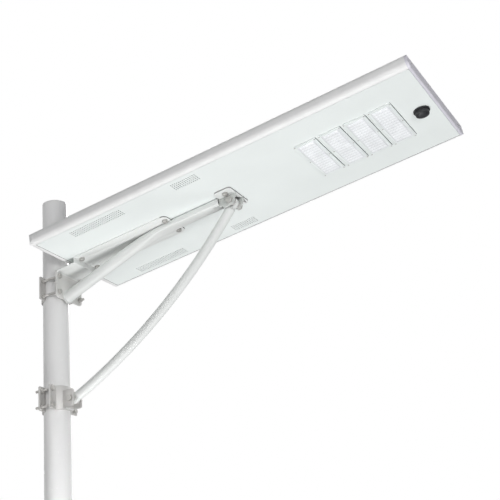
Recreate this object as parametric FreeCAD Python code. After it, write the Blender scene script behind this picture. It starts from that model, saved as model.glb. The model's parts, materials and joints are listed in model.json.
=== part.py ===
"""All-in-one solar street lamp on the top of its pole.

Row frame: the origin is the centre of the pole's open lower end, +Z runs up the pole and
+X points from the pole towards the lit end of the lamp.  The lamp head has a frame of its
own, (u, v, n): u runs along its underside, v across it and n out of its top.
"""
import FreeCAD, Part
import math
import os

V = FreeCAD.Vector
SHAPES = {}

# ---------------------------------------------------------------- driving dimensions (mm)
# Pole
pole_od = 76.0
pole_wall = 3.5
pole_length = 1040.0
pole_cap_thickness = 3.0
pole_cap_round = 1.2

# Lamp head: place on the pole, outer size
lamp_height = 800.0
lamp_tilt = 6.9
head_start = 68.5
head_length = 1180.0
head_width = 425.0
head_height = 39.0
side_bottom_radius = 14.0
side_top_radius = 17.0
pole_corner_radius = 19.0
light_corner_radius = 3.0
pole_end_bottom_radius = 14.0
light_end_bottom_radius = 4.0
end_top_radius = 8.0
rail_wall = 2.5
shelf_thickness = 2.0
shelf_depth = 14.0
seam = 0.5

# Bottom plate and its ventilation slots
plate_thickness = 2.0
plate_side_margin = 15.0
pole_cap_length = 19.5
light_cap_length = 8.0
slot_length = 5.5
slot_width = 2.2
slot_pitch_u = 6.2
slot_pitch_v = 8.8
slot_rows = 4
vent_v = 165.0
vent_fields = [(192.0, 28), (532.0, 13)]
plate_screw_radius = 2.2
plate_screw_hole = 1.3
plate_screw_pitch = 190.0

# Solar panel in the top
glass_thickness = 3.2
glass_setback = 0.5
cell_thickness = 0.4
backsheet_thickness = 0.8
seal_width = 2.5
cells_along = 12
cells_across = 3
cell_gap = 2.0
panel_margin = 6.0

# LED modules
module_count = 4
module_pitch = 72.1
module_setback = 131.8
module_size_u = 64.0
module_size_v = 196.0
module_stand = 3.5
module_gasket = 0.6
heat_sink_inset = 5.0
heat_sink_base = 6.0
heat_sink_height = 18.0
fin_thickness = 2.0
fin_count = 7
board_thickness = 1.6
lens_size_u = 45.0
lens_size_v = 176.0
lens_drop = 3.0
lens_flange = 2.0
led_size = 3.0
led_height = 0.8
leds_along_v = 14
leds_along_u = 5

# Motion sensor
sensor_setback = 48.5
sensor_flange_radius = 22.0
sensor_flange = 4.0
sensor_neck_radius = 18.5
sensor_neck = 9.5
sensor_dome_radius = 16.5
sensor_drop = 18.0
sensor_body_radius = 16.0
sensor_body_height = 14.0

# Battery, controller, junction box, wiring
battery_cell_radius = 13.1
battery_cell_length = 65.5
battery_pitch = 27.0
battery_columns = 9
battery_rows = 4
battery_row_gap = 3.0
battery_start = 150.0
battery_tray_wall = 1.0
battery_lift = 0.6
strap_width = 16.0
strap_thickness = 1.0
controller_start = 480.0
controller_size_u = 100.0
controller_size_v = 90.0
controller_height = 20.0
controller_fins = 8
junction_gap = 120.0
junction_size_u = 60.0
junction_size_v = 50.0
junction_height = 14.0
wire_radius = 1.6
wire_level = 4.2
wire_bend = 12.0
wire_offset = 14.0

# Power switch in the pole-side end cap
switch_v = 140.0
switch_level = 22.0
switch_bezel_radius = 9.0
switch_bezel_height = 2.0
button_radius = 6.0
button_gap = 0.3
button_stand = 5.0
button_travel = 2.5
button_tail = 5.0
cap_screw_places = [-180.0, -60.0, 60.0, 180.0]

# Mounting plate between the pole and the lamp's underside
sheet = 3.0
mount_half_width = 60.0
mount_step_u = 112.0
mount_end_u = 433.6
mount_drop = 17.0
mount_corner_radius = 16.0
mount_bolt_u = [127.0, 420.0]
mount_bolt_v = 37.3

# Mast plate and its saddles on the pole
mast_plate_gap = 7.0
mast_plate_thickness = 5.0
mast_plate_overhang = 22.0
mast_plate_top = -10.0
mast_plate_height = 82.0
mast_plate_corner = 12.0
clamp_gap = 0.3
saddle_thickness = 5.0
saddle_setback = 4.0
saddle_levels = [-32.0, -70.0]

# Clamp bands, bolts and nuts (M8)
band_thickness = 4.0
band_height = 70.0
ear_out = 24.0
front_band_half_angle = 60.0
upper_rear_half_angle = 77.0
lower_rear_half_angle = 70.0
upper_bolt_out = 9.5
lower_bolt_out = 12.0
clamp_bolt_spacing = 48.0
m8_radius = 4.0
m8_hole_radius = 4.5
m8_across_flats = 13.0
m8_head = 5.3
m8_nut = 6.5
m8_washer_radius = 8.0
m8_washer = 1.6
front_thread_out = 17.0
upper_thread_out = 5.4
lower_thread_out = 18.0

# Support arm: round at the pole, pressed flat under the lamp
arm_radius = 17.0
arm_wall = 2.5
arm_v = -8.0
arm_start_u = 44.0
arm_start_n = -86.0
arm_bend_u = 349.0
arm_flat_half_height = 8.3
arm_flat_half_width = 19.5
arm_plate_gap = 0.2
arm_bend_radius = 700.0
arm_bend_steps = 14
arm_end_u = 588.0
arm_press_start_u = 290.0
arm_press_end_u = 395.0
arm_lug_thickness = 5.0
arm_lug_start_u = 568.0
arm_lug_strip = 4.5
arm_lug_toe_u = 606.0
arm_lug_toe_radius = 9.0
arm_lug_gap = 0.6

# Hinge bracket under the lamp (M12 pivot)
bracket_start_u = 592.0
bracket_end_u = 646.0
bracket_half_width = 57.0
bracket_sheet = 4.0
bracket_corner = 12.0
bracket_bolt_u = 620.0
ear_half_gap = 20.0
pivot_u = 624.0
pivot_n = -21.0
pivot_eye_radius = 12.0
ear_root_shift = 5.0
ear_root_radius = 17.0
m12_radius = 6.0
m12_hole_radius = 6.5
m12_across_flats = 18.0
m12_head = 7.5
m12_nut = 10.0
spacer_radius = 10.0

# Strut and its foot
strut_radius = 14.0
strut_wall = 2.5
strut_curve = 1565.0
strut_tongue = 10.0
strut_tongue_half_height = 13.0
strut_end_gap = 18.0
strut_insert = 22.0
foot_gap = 22.0
foot_z = -392.0

# Lower clamp
lower_clamp_z = -386.0
lug_half_gap = 16.0
lug_sheet = 4.0
lug_end = 13.0
lug_half_height = 25.5
lug_z = -390.5
lug_corner = 6.0
m10_radius = 5.0
m10_hole_radius = 5.5
m10_across_flats = 16.0
m10_head = 6.4
m10_nut = 8.4

# ---------------------------------------------------------------- derived sizes and places
pole_radius = pole_od / 2
pole_bore_radius = pole_radius - pole_wall
head_end = head_start + head_length
head_half_width = head_width / 2
plate_half_width = head_half_width - plate_side_margin
plate_start = head_start + pole_cap_length + seam
plate_end = head_end - light_cap_length - seam
rail_start = head_start + pole_cap_length
rail_end = head_end - light_cap_length
shelf_bottom = plate_thickness + seam
glass_top = head_height - glass_setback
glass_bottom = glass_top - glass_thickness
backsheet_top = glass_bottom - cell_thickness
backsheet_bottom = backsheet_top - backsheet_thickness
panel_edge = head_half_width - side_top_radius - 5.5
glass_half_width = panel_edge - seal_width
band_inner = pole_radius + clamp_gap
band_outer = band_inner + band_thickness
mast_plate_mid = mast_plate_top - mast_plate_height / 2
upper_bolt_levels = [mast_plate_mid - clamp_bolt_spacing / 2, mast_plate_mid + clamp_bolt_spacing / 2]
lower_bolt_levels = [lower_clamp_z - clamp_bolt_spacing / 2, lower_clamp_z + clamp_bolt_spacing / 2]
front_ear_x = band_inner * math.cos(math.radians(front_band_half_angle))
upper_rear_ear_x = -band_inner * math.cos(math.radians(upper_rear_half_angle))
lower_rear_ear_x = -band_inner * math.cos(math.radians(lower_rear_half_angle))
module_last_u = head_end - module_setback
module_first_u = module_last_u - module_pitch * (module_count - 1)
sensor_u = head_end - sensor_setback
controller_end = controller_start + controller_size_u
junction_u = controller_end + junction_gap
led_wire_v = -module_size_v / 2 - wire_offset
sensor_wire_v = module_size_v / 2 + wire_offset
mast_plate_face = pole_radius + mast_plate_gap + mast_plate_thickness
mast_plate_half_width = pole_radius + mast_plate_overhang
saddle_half_width = pole_radius - saddle_setback
saddle_front = math.sqrt(band_inner ** 2 - saddle_half_width ** 2) + 0.4
ear_reach = pole_radius + ear_out
upper_bolt_y = pole_radius + upper_bolt_out
lower_bolt_y = pole_radius + lower_bolt_out
upper_thread_end_front = mast_plate_face + front_thread_out
upper_thread_end_rear = upper_rear_ear_x - band_thickness - upper_thread_out
lower_thread_end_rear = lower_rear_ear_x - band_thickness - lower_thread_out
foot_x = pole_radius + foot_gap
lug_end_x = foot_x + lug_end
arm_flat_n = -sheet - arm_plate_gap - arm_flat_half_height
lamp_frame = FreeCAD.Placement(V(0, 0, lamp_height), FreeCAD.Rotation(V(0, 1, 0), -lamp_tilt))
bracket_frame = FreeCAD.Placement(V(0, 0, lamp_height), FreeCAD.Rotation())


# ---------------------------------------------------------------- shape helpers
def keep(name, shape, frame=None):
    """File a node's shape, moved from its own frame to the row frame."""
    shape = shape.copy()
    if frame is not None:
        shape.Placement = frame.multiply(shape.Placement)
    SHAPES[name] = shape


def group(solids):
    return Part.makeCompound(solids)


def box(x0, x1, y0, y1, z0, z1):
    return Part.makeBox(x1 - x0, y1 - y0, z1 - z0, V(x0, y0, z0))


def rod(start, end, radius):
    """Cylinder from one point to another."""
    along = end - start
    return Part.makeCylinder(radius, along.Length, start, along)


def tube(start, end, outer, inner):
    return rod(start, end, outer).cut(rod(start, end, inner))


def face_of(edges):
    return Part.Face(Part.Wire(edges))


def rounded_outline(x0, x1, y0, y1, radii, z=0.0):
    """Edges of a rectangle whose corners, from (x0, y0) on and anticlockwise, are rounded."""
    corners = [(x0, y0, 1, 1), (x1, y0, -1, 1), (x1, y1, -1, -1), (x0, y1, 1, -1)]
    ends = []
    for index, ((x, y, sx, sy), r) in enumerate(zip(corners, radii)):
        on_x = V(x + sx * r, y, z)
        on_y = V(x, y + sy * r, z)
        middle = V(x + sx * r * (1 - math.sqrt(0.5)), y + sy * r * (1 - math.sqrt(0.5)), z)
        ends.append((on_y, middle, on_x) if index % 2 == 0 else (on_x, middle, on_y))
    edges = []
    for index, (first, middle, last) in enumerate(ends):
        edges.append(Part.Arc(first, middle, last).toShape())
        edges.append(Part.LineSegment(last, ends[(index + 1) % 4][0]).toShape())
    return edges


def rounded_plate(x0, x1, y0, y1, z0, z1, radii):
    return face_of(rounded_outline(x0, x1, y0, y1, radii, z0)).extrude(V(0, 0, z1 - z0))


def side_plate(x0, x1, z0, z1, y0, y1, radii):
    """Rounded rectangle in the X-Z plane, thickened along Y."""
    flat = rounded_plate(x0, x1, z0, z1, 0, y1 - y0, radii)
    flat.rotate(V(0, 0, 0), V(1, 0, 0), 90)
    flat.translate(V(0, y1, 0))
    return flat


def cross_plate(y0, y1, z0, z1, x0, x1, radii):
    """Rounded rectangle in the Y-Z plane, thickened along X."""
    flat = rounded_plate(y0, y1, z0, z1, 0, x1 - x0, radii)
    flat.rotate(V(0, 0, 0), V(1, 1, 1), 120)
    flat.translate(V(x0, 0, 0))
    return flat


def link_plate(c1, r1, c2, r2, y0, y1):
    """Flat link round two circles in the X-Z plane; c1 and c2 are (x, z)."""
    dx = c2[0] - c1[0]
    dz = c2[1] - c1[1]
    along = math.atan2(dz, dx)
    lean = math.acos((r1 - r2) / math.hypot(dx, dz))

    def on(centre, radius, angle):
        return V(centre[0] + radius * math.cos(angle), y0, centre[1] + radius * math.sin(angle))

    up1, up2 = on(c1, r1, along + lean), on(c2, r2, along + lean)
    low1, low2 = on(c1, r1, along - lean), on(c2, r2, along - lean)
    edges = [
        Part.LineSegment(up1, up2).toShape(),
        Part.Arc(up2, on(c2, r2, along), low2).toShape(),
        Part.LineSegment(low2, low1).toShape(),
        Part.Arc(low1, on(c1, r1, along + math.pi), up1).toShape(),
    ]
    return face_of(edges).extrude(V(0, y1 - y0, 0))


def hexagon(centre, axis, across_flats, height):
    """Hexagonal prism standing on centre along axis."""
    radius = across_flats / math.sqrt(3)
    points = [V(radius * math.cos(math.radians(60 * i)), radius * math.sin(math.radians(60 * i)), 0)
              for i in range(7)]
    prism = Part.Face(Part.makePolygon(points)).extrude(V(0, 0, height))
    prism.Placement = FreeCAD.Placement(centre, FreeCAD.Rotation(V(0, 0, 1), axis))
    return prism


def hex_bolt(seat, axis, across_flats, head, radius, length):
    """Bolt whose head sits on seat and whose shank runs length along axis."""
    back = V(axis)
    back.multiply(-1)
    tip = seat + V(axis).multiply(length)
    return hexagon(seat, back, across_flats, head).fuse(rod(seat, tip, radius)).removeSplitter()


def hex_nut(seat, axis, across_flats, height, hole):
    tip = seat + V(axis).multiply(height)
    return hexagon(seat, axis, across_flats, height).cut(rod(seat, tip, hole))


def washer(seat, axis, outer, inner, height):
    return tube(seat, seat + V(axis).multiply(height), outer, inner)


def pan_screw(seat, axis, head_radius, head, radius, length):
    """Small screw: low round head on seat, shank the other way."""
    out = V(axis).multiply(head)
    into = V(axis).multiply(-length)
    return rod(seat, seat + out, head_radius).fuse(rod(seat, seat + into, radius))


def wire_run(points):
    """Round wire along straight runs joined by tangent arcs."""
    edges = []
    start = points[0]
    for before, corner, after in zip(points, points[1:], points[2:]):
        come = (corner - before).normalize()
        go = (after - corner).normalize()
        half = come.getAngle(go) / 2
        trim = wire_bend * math.tan(half)
        first = corner - V(come).multiply(trim)
        last = corner + V(go).multiply(trim)
        inward = (go - come).normalize()
        middle = corner + inward.multiply(wire_bend / math.cos(half) - wire_bend)
        edges.append(Part.LineSegment(start, first).toShape())
        edges.append(Part.Arc(first, middle, last).toShape())
        start = last
    edges.append(Part.LineSegment(start, points[-1]).toShape())
    path = Part.Wire(edges)
    ring = Part.Wire([Part.Circle(points[0], points[1] - points[0], wire_radius).toShape()])
    return path.makePipeShell([ring], True, True)


def steps(start, pitch, count):
    return [start + pitch * i for i in range(count)]


def row_solid(frame, point):
    """A point of the lamp's frame, in the bracket's frame."""
    return frame.multVec(point) - V(0, 0, lamp_height)


# ---------------------------------------------------------------- pole
def make_pole():
    top = pole_length - pole_cap_thickness
    keep("pole_tube", tube(V(0, 0, 0), V(0, 0, top), pole_radius, pole_bore_radius))
    lid = rod(V(0, 0, top), V(0, 0, pole_length), pole_radius)
    rim = [edge for edge in lid.Edges if edge.BoundBox.ZMin > pole_length - 0.01]
    keep("pole_cap", lid.makeFillet(pole_cap_round, rim))


# ---------------------------------------------------------------- lamp housing
def head_outline(inset):
    """Form of the head, set in by inset: cross-section, plan and side view in common."""
    u0 = head_start + inset
    u1 = head_end - inset
    w = head_half_width - inset
    top = head_height - inset
    low = side_bottom_radius - inset
    high = side_top_radius - inset
    section = cross_plate(-w, w, inset, top, u0, u1, [low, low, high, high])
    pole_corner = pole_corner_radius - inset
    light_corner = light_corner_radius - inset
    plan = rounded_plate(u0, u1, -w, w, inset, top, [pole_corner, light_corner, light_corner, pole_corner])
    side = side_plate(u0, u1, inset, top, -w, w,
                      [pole_end_bottom_radius - inset, light_end_bottom_radius - inset,
                       end_top_radius - inset, end_top_radius - inset])
    return section.common(plan).common(side)


def rail_profile(side):
    """C-section of one side rail, in the v-n plane."""
    w = head_half_width
    h = head_height
    lip = w - side_bottom_radius - seam
    shelf_edge = lip - shelf_depth
    inner = w - rail_wall
    shelf_top = backsheet_bottom

    def p(v, n):
        return V(rail_start, side * v, n)

    def arc(centre_v, centre_n, radius, start, end):
        middle = math.radians((start + end) / 2)
        first = math.radians(start)
        last = math.radians(end)
        points = [p(centre_v + radius * math.cos(a), centre_n + radius * math.sin(a))
                  for a in (first, middle, last)]
        return Part.Arc(*points).toShape(), points[0], points[2]

    low_arc, low_start, low_end = arc(w - side_bottom_radius, side_bottom_radius, side_bottom_radius, -90, 0)
    high_arc, high_start, high_end = arc(w - side_top_radius, h - side_top_radius, side_top_radius, 0, 90)
    inside = [
        high_end,
        p(panel_edge, h),
        p(panel_edge, shelf_top),
        p(panel_edge - 10, shelf_top),
        p(panel_edge - 10, shelf_top - shelf_thickness),
        p(w - 9.5, shelf_top - shelf_thickness),
        p(inner, h - 15),
        p(inner, 14),
        p(w - 6.5, 5.5),
        p(w - 7.5, shelf_bottom + shelf_thickness),
        p(shelf_edge, shelf_bottom + shelf_thickness),
        p(shelf_edge, shelf_bottom),
        p(lip, shelf_bottom),
        p(lip, 0),
        low_start,
    ]
    edges = [low_arc, Part.LineSegment(low_end, high_start).toShape(), high_arc]
    edges += [Part.LineSegment(a, b).toShape() for a, b in zip(inside, inside[1:])]
    return face_of(edges)


def plate_screw_places():
    margin = shelf_depth / 2
    along = steps(plate_start + 22, plate_screw_pitch, 1 + int((plate_end - plate_start - 44) / plate_screw_pitch))
    places = [(u, side * (plate_half_width - margin)) for u in along for side in (-1, 1)]
    return places


def make_housing():
    outline = head_outline(0)
    hollow = head_outline(rail_wall)
    for name, side in (("side_rail_near", -1), ("side_rail_far", 1)):
        rail = rail_profile(side).extrude(V(rail_end - rail_start, 0, 0))
        for u, v in plate_screw_places():
            rail = rail.cut(rod(V(u, v, shelf_bottom - 1), V(u, v, shelf_bottom + shelf_thickness + 1),
                                plate_screw_hole))
        keep(name, rail.common(outline), lamp_frame)

    wall = rail_wall
    w = head_half_width
    tongue_v = w - side_bottom_radius - shelf_depth - 6
    pocket_low = shelf_bottom + shelf_thickness / 2
    pocket_high = backsheet_bottom - shelf_thickness / 2
    hollow = hollow.common(box(head_start, head_end, -w, w, pocket_low, pocket_high))
    for name, u0, u1, tongue0, tongue1 in (
            ("pole_end_cap", head_start, rail_start, rail_start - wall, rail_start + 10),
            ("light_end_cap", rail_end, head_end, rail_end - 10, rail_end + wall)):
        cap = outline.common(box(u0, u1, -w, w, 0, head_height)).cut(hollow)
        low_tongue = box(tongue0, tongue1, -tongue_v, tongue_v, shelf_bottom, shelf_bottom + shelf_thickness)
        high_tongue = box(tongue0, tongue1, -tongue_v, tongue_v,
                          backsheet_bottom - shelf_thickness, backsheet_bottom)
        cap = cap.fuse([low_tongue, high_tongue])
        for v in cap_screw_places:
            cap = cap.cut(rod(V(u0 - 1, v, switch_level), V(u1 + 1, v, switch_level), 1.6))
        if name == "pole_end_cap":
            hole = rod(V(head_start - 1, switch_v, switch_level),
                       V(head_start + wall + 1, switch_v, switch_level), button_radius + button_gap)
            cap = cap.cut(hole)
        keep(name, cap.removeSplitter(), lamp_frame)

    screws = []
    for face, axis in ((head_start, V(-1, 0, 0)), (head_end, V(1, 0, 0))):
        for v in cap_screw_places:
            screws.append(pan_screw(V(face, v, switch_level), axis, 3.5, 1.2, 1.4, 2.4))
    keep("end_cap_screws", group(screws), lamp_frame)


def make_bottom_plate():
    holes = []
    for first, count in vent_fields:
        for u in steps(first, slot_pitch_u, count):
            for side in (-1, 1):
                for row in range(slot_rows):
                    v = side * vent_v + slot_pitch_v * (row - (slot_rows - 1) / 2)
                    corners = [(u, v - slot_length / 2), (u + slot_width, v - slot_length / 2),
                               (u + slot_width, v + slot_length / 2), (u, v + slot_length / 2),
                               (u, v - slot_length / 2)]
                    holes.append(Part.makePolygon([V(x, y, 0) for x, y in corners]))
    for u in steps(module_first_u, module_pitch, module_count):
        du = module_size_u / 2 - heat_sink_inset + seam
        dv = module_size_v / 2 - heat_sink_inset + seam
        corners = [(u - du, -dv), (u + du, -dv), (u + du, dv), (u - du, dv), (u - du, -dv)]
        holes.append(Part.makePolygon([V(x, y, 0) for x, y in corners]))
    holes.append(Part.Wire([Part.Circle(V(sensor_u, 0, 0), V(0, 0, 1), sensor_body_radius + seam).toShape()]))
    for u in mount_bolt_u:
        for side in (-1, 1):
            centre = V(u, side * mount_bolt_v, 0)
            holes.append(Part.Wire([Part.Circle(centre, V(0, 0, 1), m8_hole_radius).toShape()]))
    for side in (-1, 1):
        centre = V(bracket_bolt_u, side * mount_bolt_v, 0)
        holes.append(Part.Wire([Part.Circle(centre, V(0, 0, 1), m8_hole_radius).toShape()]))
    for u, v in plate_screw_places():
        holes.append(Part.Wire([Part.Circle(V(u, v, 0), V(0, 0, 1), plate_screw_hole).toShape()]))
    outer = Part.Wire(rounded_outline(plate_start, plate_end, -plate_half_width + seam,
                                      plate_half_width - seam, [2.0] * 4))
    sheet_face = Part.makeFace([outer] + holes, "Part::FaceMakerBullseye")
    keep("bottom_plate", sheet_face.extrude(V(0, 0, plate_thickness)), lamp_frame)
    screws = [pan_screw(V(u, v, 0), V(0, 0, -1), plate_screw_radius, 0.6, 1.1, 4.2)
              for u, v in plate_screw_places()]
    keep("bottom_plate_screws", group(screws), lamp_frame)


def make_panel():
    u0 = rail_start + seam / 2
    u1 = rail_end - seam / 2
    edge = panel_edge - 0.1
    ring = box(u0, u1, -edge, edge, backsheet_bottom, glass_top)
    glass_u0 = u0 + seal_width
    glass_u1 = u1 - seal_width
    ring = ring.cut(box(glass_u0, glass_u1, -glass_half_width, glass_half_width,
                        backsheet_bottom - 1, glass_top + 1))
    keep("panel_seal", ring, lamp_frame)
    keep("solar_glass", box(glass_u0, glass_u1, -glass_half_width, glass_half_width, glass_bottom, glass_top),
         lamp_frame)
    keep("backsheet", box(glass_u0, glass_u1, -glass_half_width, glass_half_width,
                          backsheet_bottom, backsheet_top), lamp_frame)
    pitch_u = (glass_u1 - glass_u0 - 2 * panel_margin) / cells_along
    pitch_v = (2 * glass_half_width - 2 * panel_margin) / cells_across
    cells = []
    for i in range(cells_along):
        for j in range(cells_across):
            u = glass_u0 + panel_margin + i * pitch_u
            v = -glass_half_width + panel_margin + j * pitch_v
            cells.append(box(u, u + pitch_u - cell_gap, v, v + pitch_v - cell_gap, backsheet_top, glass_bottom))
    keep("solar_cells", group(cells), lamp_frame)


# ---------------------------------------------------------------- lights and sensor
def make_led_module(index, u):
    half_u = module_size_u / 2
    half_v = module_size_v / 2
    body_u = half_u - heat_sink_inset
    body_v = half_v - heat_sink_inset
    face = -module_stand - module_gasket
    frame_plate = rounded_plate(u - half_u, u + half_u, -half_v, half_v, face, -module_gasket, [3.0] * 4)
    base = box(u - body_u, u + body_u, -body_v, body_v, -module_gasket, heat_sink_base)
    fins = []
    pitch = (2 * body_u - fin_thickness) / (fin_count - 1)
    for offset in steps(u - body_u, pitch, fin_count):
        fins.append(box(offset, offset + fin_thickness, -body_v, body_v, heat_sink_base, heat_sink_height))
    pocket_u = body_u - 2
    pocket_v = body_v - 2
    pocket_top = board_thickness
    pocket = box(u - pocket_u, u + pocket_u, -pocket_v, pocket_v, face, pocket_top)
    sink = frame_plate.fuse([base] + fins).cut(pocket)
    screw_places = [(u + a * (half_u - 2.6), b * (half_v - 2.6)) for a in (-1, 1) for b in (-1, 0, 1)]
    for x, y in screw_places:
        sink = sink.cut(rod(V(x, y, face), V(x, y, 0), 1.5))
    keep("led_heat_sink_%d" % index, sink.removeSplitter(), lamp_frame)

    board = box(u - pocket_u, u + pocket_u, -pocket_v, pocket_v, 0, board_thickness)
    chips = [board]
    for a in range(leds_along_u):
        for b in range(leds_along_v):
            x = u + lens_size_u * ((a + 0.5) / leds_along_u - 0.5)
            y = lens_size_v * ((b + 0.5) / leds_along_v - 0.5)
            chips.append(box(x - led_size / 2, x + led_size / 2, y - led_size / 2, y + led_size / 2, -led_height, 0))
    keep("led_board_%d" % index, group(chips), lamp_frame)

    flange = box(u - pocket_u + 0.3, u + pocket_u - 0.3, -pocket_v + 0.3, pocket_v - 0.3, face, face + lens_flange)
    raised = rounded_plate(u - lens_size_u / 2, u + lens_size_u / 2, -lens_size_v / 2, lens_size_v / 2,
                           face - lens_drop, face, [3.0] * 4)
    keep("led_lens_%d" % index, flange.fuse(raised).removeSplitter(), lamp_frame)

    gasket = box(u - half_u + 0.5, u + half_u - 0.5, -half_v + 0.5, half_v - 0.5, -module_gasket, 0)
    gasket = gasket.cut(box(u - body_u - seam, u + body_u + seam, -body_v - seam, body_v + seam, -module_gasket, 0))
    screws = [pan_screw(V(x, y, face), V(0, 0, -1), 2.2, 1.0, 1.2, module_stand) for x, y in screw_places]
    return gasket, screws


def make_lights():
    gaskets = []
    screws = []
    for index, u in enumerate(steps(module_first_u, module_pitch, module_count)):
        gasket, module_screws = make_led_module(index + 1, u)
        gaskets.append(gasket)
        screws += module_screws
    keep("led_gaskets", group(gaskets), lamp_frame)
    keep("led_module_screws", group(screws), lamp_frame)


def make_sensor():
    centre = V(sensor_u, 0, 0)
    flange = rod(centre, centre + V(0, 0, -sensor_flange), sensor_flange_radius)
    body = rod(centre, centre + V(0, 0, sensor_body_height), sensor_body_radius)
    keep("sensor_base", flange.fuse(body).removeSplitter(), lamp_frame)

    neck_end = -sensor_flange - sensor_neck
    neck = rod(centre + V(0, 0, -sensor_flange), centre + V(0, 0, neck_end), sensor_neck_radius)
    rise = sensor_drop + neck_end
    ball_radius = (sensor_dome_radius ** 2 + rise ** 2) / (2 * rise)
    ball = Part.makeSphere(ball_radius, centre + V(0, 0, ball_radius - sensor_drop))
    reach = 2 * ball_radius
    dome = ball.common(box(sensor_u - reach, sensor_u + reach, -reach, reach, -sensor_drop - 1, neck_end))
    keep("sensor_lens", neck.fuse(dome).removeSplitter(), lamp_frame)


# ---------------------------------------------------------------- inside the housing
def make_battery():
    base = plate_thickness + battery_tray_wall
    level = base + battery_lift + battery_cell_radius
    row_pitch = battery_cell_length + battery_row_gap
    span_v = battery_rows * row_pitch - battery_row_gap
    cells = []
    for i in range(battery_columns):
        for j in range(battery_rows):
            u = battery_start + battery_pitch * (i + 0.5)
            v = -span_v / 2 + j * row_pitch
            cells.append(rod(V(u, v, level), V(u, v + battery_cell_length, level), battery_cell_radius))
    keep("battery_cells", group(cells), lamp_frame)

    u0 = battery_start - 1 - battery_tray_wall
    u1 = battery_start + battery_columns * battery_pitch + 1 + battery_tray_wall
    side = span_v / 2 + 1
    tray = box(u0, u1, -side - battery_tray_wall, side + battery_tray_wall, plate_thickness, base)
    out_v = side + battery_tray_wall
    rim = box(u0, u1, -out_v, out_v, base, level)
    rim = rim.cut(box(u0 + battery_tray_wall, u1 - battery_tray_wall, -side, side, base, level))
    tray = tray.fuse(rim)
    keep("battery_tray", tray.removeSplitter(), lamp_frame)

    top = level + battery_cell_radius + 0.3
    straps = []
    for u in (u0 + 40, u1 - 40 - strap_width):
        out = side + battery_tray_wall + 0.3
        bridge = box(u, u + strap_width, -out - strap_thickness, out + strap_thickness, top, top + strap_thickness)
        for s in (-1, 1):
            near = min(s * out, s * (out + strap_thickness))
            foot = min(s * out, s * (out + 12))
            leg = box(u, u + strap_width, near, near + strap_thickness, plate_thickness, top)
            pad = box(u, u + strap_width, foot, foot + 12, plate_thickness, plate_thickness + strap_thickness)
            bridge = bridge.fuse([leg, pad])
        straps.append(bridge.removeSplitter())
    keep("battery_straps", group(straps), lamp_frame)


def make_controller():
    half = controller_size_v / 2
    low = plate_thickness
    top = low + controller_height
    body = box(controller_start, controller_end, -half, half, low, top - 6)
    pitch = (controller_size_v - 3) / (controller_fins - 1)
    for v in steps(-half, pitch, controller_fins):
        body = body.fuse(box(controller_start, controller_end, v, v + 3, top - 6, top))
    keep("charge_controller", body.removeSplitter(), lamp_frame)
    keep("junction_box", box(junction_u, junction_u + junction_size_u, -junction_size_v / 2, junction_size_v / 2,
                             backsheet_bottom - junction_height, backsheet_bottom), lamp_frame)


def make_wiring():
    level = wire_level
    battery_end = battery_start + battery_columns * battery_pitch + 1 + battery_tray_wall
    half = controller_size_v / 2
    body_v = module_size_v / 2 - heat_sink_inset
    runs = []
    for v in (-16.0, 16.0):
        runs.append(wire_run([V(battery_end + 0.2, v, level), V(battery_end + 40, v, level),
                              V(battery_end + 58, v / 2, level), V(controller_start - 0.2, v / 2, level)]))
        sink_level = backsheet_bottom - junction_height / 2
        runs.append(wire_run([V(controller_end + 0.2, v, level), V(controller_end + 60, v, level),
                              V(controller_end + 85, v, sink_level), V(junction_u - 0.2, v, sink_level)]))
    trunk = wire_run([V(controller_end + 0.2, -half + 8, level), V(controller_end + 16, -half + 8, level),
                      V(controller_end + 16 + 2 * wire_bend, led_wire_v, level), V(module_last_u, led_wire_v, level)])
    runs.append(trunk)
    for u in steps(module_first_u, module_pitch, module_count):
        tap = led_wire_v + wire_radius + 0.1
        runs.append(rod(V(u, tap, level), V(u, -body_v - 0.2, level), wire_radius))
    sensor_side = sensor_body_radius + 0.2
    runs.append(wire_run([V(controller_end + 0.2, half - 8, level), V(controller_end + 16, half - 8, level),
                          V(controller_end + 16 + 2 * wire_bend, sensor_wire_v, level),
                          V(sensor_u, sensor_wire_v, level), V(sensor_u, sensor_side, level)]))
    keep("internal_wiring", group(runs), lamp_frame)


def make_switch():
    face = head_start
    centre = V(face, switch_v, switch_level)
    out = V(-1, 0, 0)
    bezel = tube(centre, centre + V(out).multiply(switch_bezel_height), switch_bezel_radius,
                 button_radius + button_gap)
    inside = face + rail_wall
    cup_end = inside + button_travel + button_tail + 2
    sleeve = tube(V(inside, switch_v, switch_level), V(cup_end, switch_v, switch_level),
                  switch_bezel_radius, button_radius + button_gap)
    back = rod(V(cup_end, switch_v, switch_level), V(cup_end + 2, switch_v, switch_level), switch_bezel_radius)
    keep("power_switch", group([bezel, sleeve.fuse(back).removeSplitter()]), lamp_frame)
    keep("power_button", rod(V(face - button_stand, switch_v, switch_level),
                             V(inside + button_tail, switch_v, switch_level), button_radius), lamp_frame)


# ---------------------------------------------------------------- upper bracket
def half_space_in_front():
    """Everything in front of the mast plate's face, in the bracket's frame."""
    return box(mast_plate_face, 2000, -500, 500, -600, 600)


def make_mount_plate():
    w = mount_half_width
    lower = -mount_drop - sheet
    flange = rounded_plate(mount_step_u, mount_end_u, -w, w, -sheet, 0,
                           [0.1, mount_corner_radius, mount_corner_radius, 0.1])
    riser = box(mount_step_u, mount_step_u + sheet, -w, w, lower, -sheet)
    reach = box(0, mount_step_u, -w, w, lower, lower + sheet)
    plate = flange.fuse([riser, reach]).removeSplitter()
    for u in mount_bolt_u:
        for side in (-1, 1):
            plate = plate.cut(rod(V(u, side * mount_bolt_v, -sheet), V(u, side * mount_bolt_v, 0), m8_hole_radius))
    plate.Placement = FreeCAD.Placement(V(0, 0, 0), lamp_frame.Rotation)
    keep("mounting_plate", plate.common(half_space_in_front()), bracket_frame)


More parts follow.
